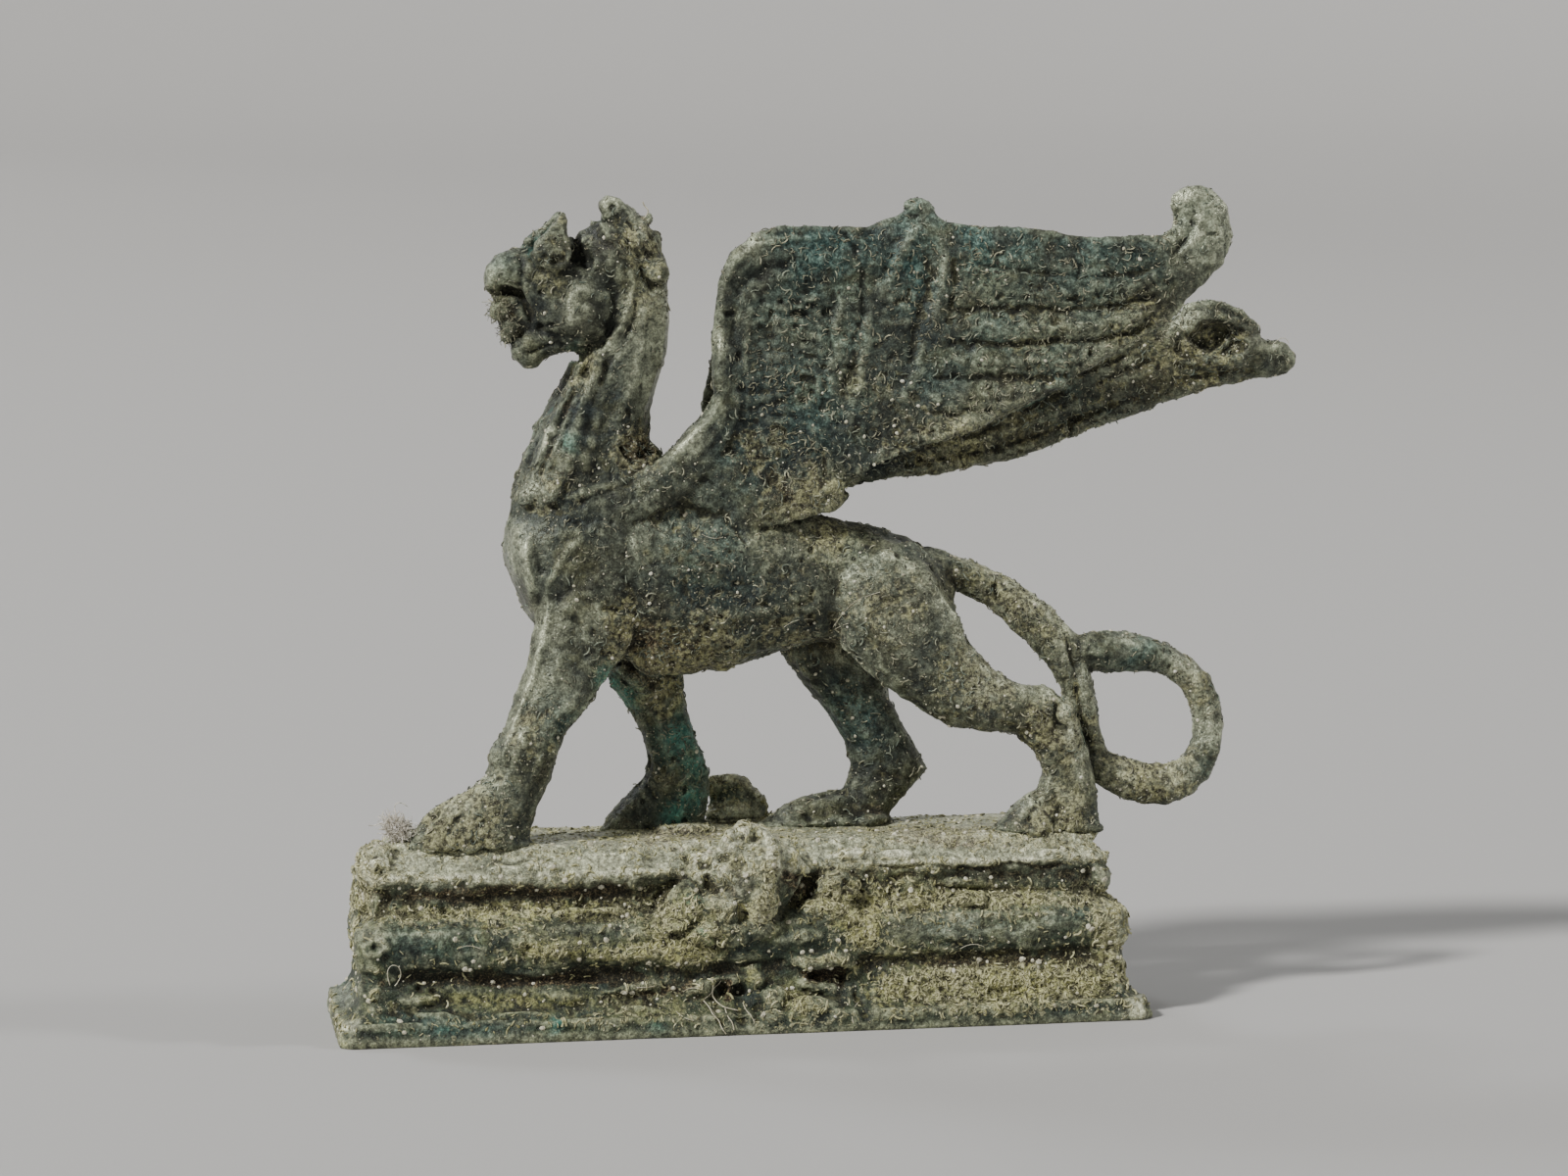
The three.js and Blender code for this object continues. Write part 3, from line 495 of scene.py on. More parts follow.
legStrokes = [
    ([(553, 655), (545, 690), (535, 713), (525, 740), (515, 765), (511, 788)], 3, 0.2),
    ([(566, 690), (552, 722), (543, 752), (538, 780)], 8, -0.12),
    ([(596, 700), (574, 724), (556, 748)], 5, 0.1),
    ([(508, 762), (500, 778)], 6, 0.14),
    ([(520, 790), (505, 806), (484, 818)], 5, 0.1),
    ([(430, 850), (437, 838), (449, 826)], 3.2, -0.2),
    ([(452, 858), (460, 844), (472, 830)], 3.2, -0.2),
    ([(480, 860), (487, 848), (496, 836)], 3, -0.14),
    ([(660, 730), (668, 760), (672, 785)], 6, -0.12),
    ([(690, 716), (702, 745), (712, 775)], 5, 0.14),
    ([(655, 798), (668, 812), (676, 832)], 5, -0.14),
    ([(700, 838)], 6, -0.4),
    ([(1086, 700), (1090, 740), (1098, 780), (1106, 802)], 5, 0.2),
    ([(1070, 722), (1076, 752), (1086, 790)], 8, -0.08),
    ([(960, 690), (1000, 712), (1050, 722)], 9, 0.12),
    ([(915, 708), (950, 728), (1000, 740)], 5, -0.1),
    ([(1046, 850), (1052, 830), (1060, 816)], 3.4, -0.2),
    ([(1074, 854), (1078, 834), (1082, 818)], 3.4, -0.2),
    ([(866, 740), (880, 770), (876, 800)], 7, -0.14),
    ([(904, 720), (922, 756), (930, 785)], 5, 0.12),
    ([(885, 800), (900, 790), (925, 795)], 5, -0.14),
]
tailStrokes = [
    ([(1072, 622), (1088, 648), (1097, 680), (1100, 712), (1106, 746), (1117, 772)], 3.6, -0.3),
    ([(990, 576), (1030, 604), (1062, 634), (1084, 664)], 4, 0.14),
    ([(1108, 650), (1104, 690), (1108, 730)], 3.5, 0.14),
    ([(1112, 660), (1140, 655), (1180, 662), (1215, 686), (1234, 716), (1236, 750)], 4, 0.1),
    ([(1000, 600), (1040, 632), (1070, 668)], 4, -0.14),
    ([(960, 580), (975, 596)], 7, -0.2),
]
wingStrokes = [
    ([(743, 440), (746, 400), (748, 360), (749, 322), (753, 298), (765, 282), (782, 273), (806, 268),
      (836, 268)], 7, -0.2),
    ([(762, 430), (762, 400), (761, 360), (763, 322), (769, 300), (782, 287), (806, 281)], 3.6, 0.12),
    ([(733, 410), (735, 360), (736, 310), (741, 284), (752, 266), (770, 250), (800, 243),
      (850, 243)], 5, 0.18),
    ([(846, 286), (851, 310), (844, 332), (849, 352), (840, 376), (844, 398), (834, 420),
      (836, 448)], 5, -0.13),
    ([(856, 284), (860, 312), (852, 334), (857, 356), (848, 378), (850, 402), (842, 424)], 5, 0.12),
    ([(942, 224), (926, 250), (910, 280), (893, 308)], 7, 0.3),
    ([(893, 308), (884, 332), (888, 350), (876, 372), (880, 392), (868, 420), (866, 448)], 5, 0.15),
    ([(884, 262), (878, 300), (882, 322), (872, 345), (872, 372), (862, 396), (860, 420)], 5, -0.16),
    ([(958, 236), (964, 262), (962, 292), (952, 335)], 5.5, 0.28),
    ([(946, 345), (938, 362), (940, 378), (926, 396), (918, 414)], 5, 0.18),
    ([(944, 250), (950, 280), (942, 310), (934, 340), (930, 362), (920, 384)], 6, -0.2),
    ([(974, 262), (976, 292), (966, 335)], 4, -0.16),
    ([(968, 264), (1010, 272), (1060, 278), (1110, 282), (1160, 280), (1196, 266)], 4, -0.2),
    ([(866, 258), (880, 250), (900, 252), (925, 240)], 5, -0.12),
    ([(860, 236), (868, 246), (876, 262)], 4, -0.2),
    ([(812, 318), (822, 307), (836, 305)], 4, 0.2),
    ([(845, 312), (846, 326)], 4, -0.3),
    ([(790, 284), (812, 281)], 4, 0.16),
    ([(770, 426), (785, 426), (798, 433)], 5, 0.16),
    ([(862, 480), (842, 500), (832, 514)], 4, 0.14),
    ([(1215, 199), (1219, 214), (1217, 234), (1206, 250), (1194, 264)], 4, -0.22),
    ([(1236, 205), (1245, 225), (1244, 248), (1232, 272)], 6, 0.14),
    ([(1199, 214), (1206, 226)], 6, -0.16),
    ([(1193, 324), (1158, 344), (1120, 364), (1094, 383), (1058, 403), (1018, 422), (978, 440),
      (930, 459)], 3.2, 0.2),
]
farTipStrokes = [
    ([(1192, 332), (1201, 320), (1219, 309), (1245, 311), (1267, 320), (1284, 336)], 3, 0.24),
    ([(1190, 362), (1212, 371), (1236, 364), (1252, 350), (1257, 334)], 3, 0.26),
    ([(1204, 340), (1226, 352), (1244, 340)], 5, -0.2),
    ([(1262, 330), (1276, 344)], 4, -0.2),
    ([(1296, 356), (1310, 352)], 5, 0.12),
    ([(1200, 388), (1240, 380), (1280, 376)], 5, -0.16),
    ([(960, 456), (1000, 448), (1060, 430), (1110, 406)], 4.5, 0.2),
    ([(940, 472), (1000, 462), (1060, 446), (1120, 420), (1180, 396)], 4.5, -0.2),
    ([(905, 492), (950, 482), (1010, 467), (1100, 440), (1175, 411), (1250, 386)], 4, 0.2),
    ([(1110, 398), (1150, 378), (1190, 362)], 6, -0.18),
    ([(1040, 456), (1100, 434), (1160, 410)], 4.5, 0.14),
    ([(905, 480), (940, 478), (980, 470)], 6, 0.16),
    ([(1130, 392), (1170, 380), (1195, 384)], 4, 0.16),
]
featherLines = [  # ridge of each long feather, from its base to its tip
    ([(962, 298), (1010, 297), (1060, 300), (1110, 298), (1160, 292), (1200, 278)], 0.18),
    ([(958, 334), (1000, 333), (1050, 335), (1100, 333), (1150, 325), (1190, 312)], 0.2),
    ([(950, 369), (1000, 369), (1050, 370), (1100, 366), (1140, 352), (1172, 334)], 0.18),
    ([(938, 402), (980, 404), (1030, 403), (1070, 392), (1098, 378)], 0.16),
    ([(915, 436), (950, 438), (990, 430), (1030, 414)], 0.12),
]
wingRows = [  # left, right, top, bottom, spacing and depth of the small feathers' ripples
    (768, 846, 284, 480, 13.0, 0.18),
    (850, 886, 286, 455, 14.5, 0.13),
    (896, 944, 276, 420, 15.5, 0.13),
]
fillSpots = [  # where the skin is filled and rounded off: pixels, radius, share
    (582, 405, 14, 0.8), (572, 430, 14, 0.8), (562, 455, 14, 0.8), (553, 482, 14, 0.8), (600, 420, 16, 0.8),
    (594, 455, 16, 0.8), (622, 502, 16, 0.9), (528, 513, 14, 0.8), (554, 515, 14, 0.7), (548, 498, 17, 1.0),
    (584, 502, 18, 1.0), (575, 440, 12, 0.8), (567, 462, 13, 0.9), (585, 415, 12, 0.8), (594, 398, 9, 0.6),
    (640, 495, 14, 0.4), (604, 516, 18, 0.5), (716, 474, 15, 1.0), (735, 478, 17, 1.0), (700, 500, 16, 0.9),
    (757, 490, 17, 1.0), (742, 510, 20, 1.0), (768, 520, 16, 0.8), (690, 514, 14, 0.7), (648, 430, 9, 0.5),
    (536, 352, 9, 0.5), (640, 222, 8, 0.6), (850, 512, 9, 0.5), (938, 214, 8, 0.4), (1222, 344, 9, 0.5),
    (660, 672, 16, 0.4),
]
calmSpots = [  # where the metal is smooth: pixels, radius
    (530, 560, 24), (536, 590, 18), (535, 540, 16), (556, 650, 18), (540, 690, 18), (528, 730, 16),
    (518, 765, 14), (585, 315, 15), (512, 270, 14), (612, 400, 16), (606, 440, 16), (672, 340, 16),
    (670, 390, 16), (736, 300, 9), (735, 340, 9), (734, 380, 10), (724, 430, 12), (700, 450, 12),
    (680, 470, 10), (760, 262, 10), (640, 300, 12), (575, 420, 12), (556, 470, 12), (545, 620, 14),
]
featherCuts = [  # right and down in px, unsteadiness in px, seed, width in px, share of the feather's rise
    (0, 0, 1.6, 40, 7.0, 1.3), (-2, 17, 1.6, 60, 4.5, -1.5), (3, 9, 1.8, 70, 2.4, 0.5),
]
sideLumps = [  # on both sides: pixels, depth in mm, half sizes in mm, turn in degrees
    (735, 482, -2.4, (2.3, 1.6, 2.1), 30), (714, 503, -2.7, (2.8, 1.3, 1.2), 25),
    (750, 502, -2.3, (2.2, 1.4, 1.7), 0), (556, 496, -2.2, (1.4, 1.3, 1.8), 20),
    (590, 395, -2.1, (0.8, 0.8, 0.9), 20), (582, 411, -2.2, (0.8, 0.85, 1.0), 20),
    (575, 426, -2.2, (0.8, 0.9, 1.0), 20), (569, 441, -2.3, (0.8, 0.9, 1.0), 15),
    (563, 456, -2.4, (0.8, 0.9, 1.0), 15), (558, 471, -2.5, (0.8, 0.9, 1.0), 15),
    (552, 485, -2.4, (0.8, 0.9, 1.0), 15), (609, 405, -2.3, (0.8, 0.7, 1.1), 15),
    (603, 428, -2.5, (0.9, 0.8, 1.1), 15), (597, 450, -2.7, (0.9, 0.9, 1.1), 15),
    (592, 472, -3.0, (0.9, 1.0, 1.1), 10), (590, 494, -3.1, (1.0, 1.0, 1.1), 0),
]
griffinLumps = [
    (541, 246, 0.2, (0.45, 0.5, 0.35), 0), (641, 220, -0.6, (0.9, 1.0, 0.6), 30),
    (653, 229, -0.8, (0.8, 1.1, 0.5), 40), (662, 223, -0.4, (0.4, 0.5, 0.45), 0),
    (511, 316, -0.3, (0.85, 0.8, 0.9), 0), (520, 330, -0.3, (0.9, 0.8, 0.8), 30),
    (517, 342, -0.1, (0.55, 0.5, 0.5), 0), (644, 455, -2.2, (0.9, 0.6, 0.9), 0),
    (660, 463, -1.2, (1.1, 1.0, 0.7), 10), (850, 511, -3.6, (1.3, 0.7, 0.6), -25),
    (938, 211, -3.7, (1.3, 0.55, 0.75), 8), (662, 668, -1.8, (2.3, 1.7, 1.2), 25),
    (645, 688, 0.6, (1.3, 1.6, 0.8), 30), (688, 674, -0.8, (1.6, 1.5, 0.9), 0),
    (1216, 348, 3.9, (1.0, 0.45, 0.6), 0), (1232, 342, 3.9, (0.9, 0.4, 0.7), 30),
    (1196, 345, 3.7, (0.7, 0.5, 0.8), 0), (850, 838, 1.4, (2.0, 1.1, 0.6), 0),
    (812, 842, 1.6, (1.8, 1.0, 0.6), 0), (890, 836, 1.0, (1.2, 0.9, 0.6), 0),
]


def rippled(points, pixels):  # ripples of the small feathers: bowed, fading in and out, never quite level
    field = np.zeros(len(points))
    drift = lumps(points, 2.1, 620) * 4.0 + lumps(points, 0.9, 621) * 2.0
    strength = 0.55 + 0.6 * lumps(points, 1.5, 622)
    for left, right, top, bottom, pitch, depth in wingRows:
        u = pixels[:, 0] + (pixels[:, 1] - top) * 0.05 + drift
        along = np.clip((u - left) / (right - left), 0, 1)
        inside = steps(left - 4, left + 7, u) * steps(right + 4, right - 7, u)
        inside *= steps(top - 6, top + 10, pixels[:, 1]) * steps(bottom + 6, bottom - 20, pixels[:, 1])
        phase = (pixels[:, 1] + 5.0 * np.sin(math.pi * along) - 3.0 * along + drift) / pitch
        valley = np.abs(phase - np.round(phase)) * 2
        field += inside * strength * depth * (steps(0.0, 0.75, valley) - 0.72)
    return field


def featherStrokes():  # each long feather has a ridge, a furrow below it and short barbs across
    made = []
    for k, (path, rise) in enumerate(featherLines):
        for right, down, wander, seed, width, share in featherCuts:
            shifted = [(u + right, v + down) for u, v in path]
            made.append((waved(shifted, wander, seed + k), width, rise * share))
        rng = np.random.default_rng(80 + k)
        for u, v in waved(path, 0.0, 1, 9)[3:-3]:
            tilt = rng.uniform(6, 14)
            made.append(([(u, v - 6), (u + tilt, v + rng.uniform(5, 12))], 2.2, rng.uniform(-0.16, 0.10)))
    return made


def griffinExtras():  # dirt and small forms joined on before the surface is closed over
    made = []
    for side in (1, -1):
        for u, v, y, half, turn in sideLumps:
            x, depth, z = fromPhoto(u, v, y)
            made.append(((x, depth * side, z), half, turn))
    made += [(tuple(fromPhoto(u, v, y)), half, turn) for u, v, y, half, turn in griffinLumps]
    rng = np.random.default_rng(23)
    for x, y, reachX, reachY in griffin["pawPrints"]:
        for t in np.arange(griffin["pawLumps"]) * 2 * math.pi / griffin["pawLumps"]:
            z = griffin["deck"] + rng.uniform(-0.15, 0.05)
            place = (x + (reachX - 0.35) * math.cos(t), y + (reachY - 0.3) * math.sin(t), z)
            made.append((place, (rng.uniform(0.5, 0.9), rng.uniform(0.4, 0.7), rng.uniform(0.25, 0.45)), 0))
    return made


def undrooped(points):  # brings the lower far wing to where the near one stands, to share its carving
    x0, z0 = griffin["wingRoot"]
    turn = math.radians(griffin["wingDroop"])
    amount = steps(x0 - 2, x0 + 1, points[:, 0]) * (points[:, 2] > 36) * (points[:, 1] > 1.5)
    dx = points[:, 0] - x0
    dz = points[:, 2] - z0
    made = points.copy()
    made[:, 0] = x0 + dx * math.cos(turn) - dz * math.sin(turn)
    made[:, 2] = z0 + dx * math.sin(turn) + dz * math.cos(turn)
    return points + (made - points) * amount[:, None]


def weathered(mesh, points, layers, seed, share):  # corrosion: swellings, grain and pits, each (size, height)
    lift = np.zeros(len(points))
    for k, (size, height) in enumerate(layers):
        fine = share if size < 1.2 else 0.5 + 0.5 * share
        lift += lumps(points, size, seed + k) * height * fine
    pits = steps(0.50, 0.82, lumps(points, 0.8, seed + 20)) * steps(-0.2, 0.4, lumps(points, 6, seed + 21))
    return pushed(mesh, points, lift - pits * 0.22 * share, readNormals(mesh))


stains = {
    "soil": [
        (655, 458, 26, 1.0), (664, 655, 34, 1.0), (650, 690, 34, 0.9), (515, 318, 24, 0.55),
        (578, 415, 12, 0.7), (560, 462, 12, 0.7), (700, 660, 40, 0.6), (745, 655, 40, 0.45),
        (850, 665, 36, 0.6), (700, 842, 24, 0.8), (640, 850, 26, 0.8), (800, 505, 22, 0.7),
        (1225, 345, 22, 0.3), (1100, 398, 30, 0.5), (1090, 720, 16, 0.35), (980, 586, 16, 0.5),
        (895, 838, 26, 0.7), (1040, 838, 18, 0.7), (790, 480, 24, 0.4), (930, 790, 20, 0.5),
        (1050, 430, 60, 0.5), (1180, 390, 50, 0.5), (930, 480, 40, 0.4), (510, 278, 12, 0.5),
    ],
    "teal": [
        (840, 250, 55, 0.8), (940, 222, 30, 1.0), (930, 285, 30, 1.0), (1010, 255, 50, 1.0),
        (1110, 265, 70, 0.5), (1225, 225, 36, 0.3), (800, 320, 40, 0.5), (830, 400, 60, 0.5),
        (860, 340, 40, 0.5), (1080, 348, 30, 0.5), (1160, 655, 30, 0.7), (1075, 395, 30, 0.4),
        (870, 560, 30, 0.35), (720, 560, 60, 0.35), (575, 740, 26, 0.35), (510, 270, 16, 0.35),
        (870, 730, 34, 0.6), (1235, 790, 26, 0.4), (760, 470, 30, 0.45), (1010, 330, 50, 0.45),
        (1120, 300, 50, 0.4), (960, 380, 40, 0.35),
    ],
    "verdigris": [
        (622, 695, 12, 1.0), (640, 712, 14, 0.8), (700, 752, 24, 0.7), (712, 778, 18, 0.7),
        (706, 815, 14, 0.9), (690, 832, 14, 0.7), (586, 362, 8, 0.7), (582, 452, 8, 0.4),
    ],
    "ochre": [
        (985, 446, 26, 1.0), (1030, 430, 22, 0.6), (1150, 335, 40, 0.35), (1070, 340, 26, 0.4),
        (1010, 292, 30, 0.35), (560, 285, 14, 0.7), (870, 392, 14, 0.7), (855, 505, 22, 0.8),
        (660, 310, 22, 0.7), (668, 275, 12, 0.8), (850, 548, 30, 0.7), (1000, 580, 40, 0.5),
        (1180, 365, 26, 0.6), (1222, 353, 9, 1.0), (1080, 640, 30, 0.5), (1150, 785, 40, 0.5),
        (1090, 800, 26, 0.4), (470, 848, 44, 0.4), (1080, 840, 30, 0.4), (545, 780, 30, 0.2),
        (600, 372, 12, 0.8), (780, 550, 24, 0.4), (1060, 700, 30, 0.3), (1215, 700, 20, 0.3),
        (574, 225, 5, 1.0), (740, 690, 30, 0.2), (570, 292, 10, 0.6),
    ],
    # wear, and painted highlight on the neck's back, the wing hook and along the haunch, tail and hind leg
    # contours
    "worn": [
        (528, 562, 26, 0.9), (556, 640, 24, 0.8), (542, 698, 26, 0.8), (526, 744, 20, 0.8),
        (600, 640, 20, 0.4), (580, 700, 24, 0.5), (735, 350, 10, 0.8), (706, 452, 16, 0.8),
        (770, 250, 14, 0.5), (585, 320, 14, 0.8), (504, 282, 12, 0.25), (596, 292, 10, 0.5),
        (668, 318, 23, 1.3), (668, 350, 24, 1.3), (667, 385, 23, 1.3), (664, 415, 15, 0.8),
        (604, 392, 10, 0.6), (620, 355, 12, 0.7), (560, 450, 14, 0.6), (545, 500, 16, 0.6),
        (875, 590, 34, 0.5), (920, 640, 34, 0.4), (1000, 700, 30, 0.4), (907, 567, 11, 0.9),
        (926, 580, 11, 0.9), (943, 598, 11, 1.0), (958, 614, 11, 1.0), (970, 630, 11, 1.0),
        (981, 650, 11, 1.0), (993, 669, 11, 1.0), (1006, 682, 11, 1.0), (1022, 692, 11, 1.0),
        (1045, 699, 11, 1.0), (1068, 706, 11, 1.0), (1086, 722, 11, 1.0), (1094, 745, 10, 1.0),
        (1100, 768, 10, 0.9), (1104, 790, 9, 0.9), (860, 668, 10, 0.7), (882, 684, 10, 0.7),
        (905, 704, 10, 0.6), (1060, 800, 12, 0.6), (1050, 822, 12, 0.8), (1092, 815, 12, 0.6),
        (960, 560, 10, 0.7), (988, 567, 10, 0.8), (1012, 580, 10, 0.8), (1033, 597, 10, 0.9),
        (1053, 610, 10, 0.9), (1073, 624, 10, 0.9), (1090, 640, 10, 0.9), (1082, 662, 12, 0.6),
        (1108, 690, 8, 0.9), (1112, 712, 8, 0.9), (1150, 650, 14, 0.9), (1205, 688, 20, 1.0),
        (1230, 740, 20, 1.0), (1204, 788, 20, 0.9), (1150, 790, 18, 0.7), (1238, 226, 34, 1.3),
        (1205, 205, 20, 1.0), (1000, 640, 26, 0.6), (1216, 262, 18, 0.7), (938, 222, 18, 0.5),
        (470, 820, 24, 0.7), (500, 800, 20, 0.6), (1290, 350, 14, 0.6), (655, 228, 14, 0.4),
        (622, 206, 10, 0.6), (650, 548, 40, 0.3), (720, 520, 40, 0.2), (790, 556, 30, 0.3),
        (960, 272, 16, 0.4), (1210, 320, 20, 0.5), (910, 300, 14, 0.4), (1000, 300, 60, 0.14),
        (1090, 330, 70, 0.14), (1000, 390, 60, 0.14), (860, 350, 60, 0.16), (790, 330, 40, 0.16),
    ],
    "crust": [
        (1000, 690, 60, 0.8), (900, 620, 60, 0.6), (1080, 740, 50, 0.8), (1080, 840, 40, 0.9),
        (1040, 610, 60, 0.8), (1180, 790, 60, 0.8), (1220, 700, 40, 0.6), (470, 840, 60, 0.9),
        (540, 740, 50, 0.5), (670, 680, 60, 0.9), (640, 640, 40, 0.6), (700, 790, 50, 0.5),
        # the two weak spots on the far hind leg (880, 800 and 880, 700) keep it dark: painted shade
        (880, 800, 60, 0.2), (880, 700, 50, 0.2), (1230, 365, 60, 0.6), (800, 600, 60, 0.35),
        (1100, 430, 90, 0.4), (950, 470, 60, 0.55), (1060, 340, 90, 0.25), (1160, 330, 50, 0.45),
        (560, 250, 26, 0.35), (520, 325, 30, 0.3), (655, 245, 30, 0.8), (660, 300, 26, 0.6),
        (820, 510, 50, 0.7), (780, 460, 40, 0.5), (840, 545, 40, 0.6), (700, 560, 60, 0.4),
        (650, 460, 30, 0.9), (590, 380, 26, 0.6), (560, 500, 40, 0.5), (960, 300, 60, 0.3),
        (800, 380, 60, 0.25), (900, 400, 60, 0.3), (730, 660, 60, 0.7), (800, 650, 50, 0.6),
    ],
}


def carvedGriffin():  # the skin with its carving, and where the camera and its mirror image see each point
    mesh, edges, points, normals = clayFrom("griffin", griffin["voxel"], griffin["relax"], griffinExtras())
    nearSeen = seenBy(mesh, points, normals, edges, 3)
    farSeen = seenBy(mesh, points, normals, edges, 3, True)
    nearPixels = toPhoto(points)
    farPixels = toPhoto(undrooped(points) * (1, -1, 1))
    filled = np.maximum(patches(nearPixels, nearSeen, fillSpots), patches(farPixels, farSeen, fillSpots))
    points = points + (spread(points, edges, 60, 0.7) - points) * filled[:, None]
    writePoints(mesh, points)
    shared = headStrokes + neckStrokes + bodyStrokes + wingStrokes + featherStrokes()
    own = legStrokes + tailStrokes + farTipStrokes
    lift = (strokeField(nearPixels, shared + own) + rippled(points, nearPixels)) * nearSeen
    lift += (strokeField(farPixels, shared) + rippled(points, farPixels)) * farSeen * 0.85
    points = pushed(mesh, points, spread(lift, edges, 1, 0.4), readNormals(mesh))
    return mesh, points, edges, (nearPixels, nearSeen), (farPixels, farSeen)


def buildGriffin():
    mesh, points, edges, near, far = carvedGriffin()
    calm = [(u, v, radius, 1.0) for u, v, radius in calmSpots]
    calmShare = np.maximum(patches(*near, calm), patches(*far, calm) * 0.7)
    layers = {}
    for k, (name, spots) in enumerate(stains.items()):
        loose = steps(0.25, 0.8, lumps(points, 5.5, 400 + k)) * 0.4 * (1 - near[1])
        layers[name] = np.maximum(patches(*near, spots), patches(*far, spots) * 0.75) + loose
    layers["crust"] += 0.14
    crust = layers["crust"]
    rough = (0.75 + 0.6 * crust) * (1 - 0.7 * calmShare)
    points = weathered(mesh, points, griffin["corrosion"], 300, rough)
    layers["hollow"], layers["ridge"] = hollowAndRidge(mesh, points, edges, griffin["voxel"])
    broad = steps(-0.5, 0.3, lumps(points, 2.6, 611))
    clumped = 0.25 + 1.1 * steps(-0.25, 0.45, lumps(points, 0.9, 610)) * broad
    layers["grainy"] = np.clip((0.16 + 0.8 * crust) * clumped, 0, 1) * (1 - 0.85 * calmShare)
    layers["white"] = np.clip(0.10 + 0.35 * crust + 0.3 * layers["soil"], 0, 1) * (1 - 0.8 * calmShare)
    wings = steps(36, 42, points[:, 2]) * steps(-9, -4, points[:, 0])
    layers["fibrous"] = np.clip(0.35 + 0.5 * wings + 0.4 * crust, 0, 1) * (1 - 0.9 * calmShare)
    return finishedSkin("griffinBronze", mesh, points, layers, griffin["triangles"])


plinth = {
    "voxel": 0.18,  # mm
    "relax": 6,
    "triangles": 170000,
    "middleX": -7.183,
    "halfDepth": 9.9,
    "corrosion": [(1.3, 0.10), (0.8, 0.09), (0.5, 0.08), (0.34, 0.07)],
    "levels": [  # z in mm, then how much crust, wear and soil lie at that height; the soil and thin crust in the recessed bands are partly painted shade, and the wear on the top partly painted highlight
        (0.0, 0.30, 0.0, 0.1), (0.9, 0.40, 0.0, 0.1), (1.9, 0.40, 0.0, 0.1), (2.8, 0.42, 0.0, 0.2),
        (3.7, 0.30, 0.0, 0.3), (4.6, 0.10, 0.0, 0.5), (5.4, 0.25, 0.0, 0.2), (7.0, 0.35, 0.0, 0.1),
        (8.4, 0.50, 0.1, 0.1), (9.2, 0.72, 0.1, 0.2), (9.9, 0.45, 0.0, 0.4), (10.2, 0.25, 0.1, 0.5),
        (11.4, 0.25, 0.1, 0.5), (11.8, 0.55, 0.7, 0.2), (13.0, 0.60, 1.0, 0.1), (13.7, 0.60, 0.9, 0.2),
        (13.95, 0.60, 0.9, 0.2),
    ],
    "profile": [  # z and half depth
        (12.2, 6.5), (10.6, 6.2), (9.0, 7.0), (6.9, 8.0), (4.8, 7.4), (3.2, 7.9), (1.6, 8.7),
    ],
    "sideLumps": 9,  # on each side at each of them
    "endRows": (-5.4, -2.8, 0.2, 3.0, 5.6),  # y
}
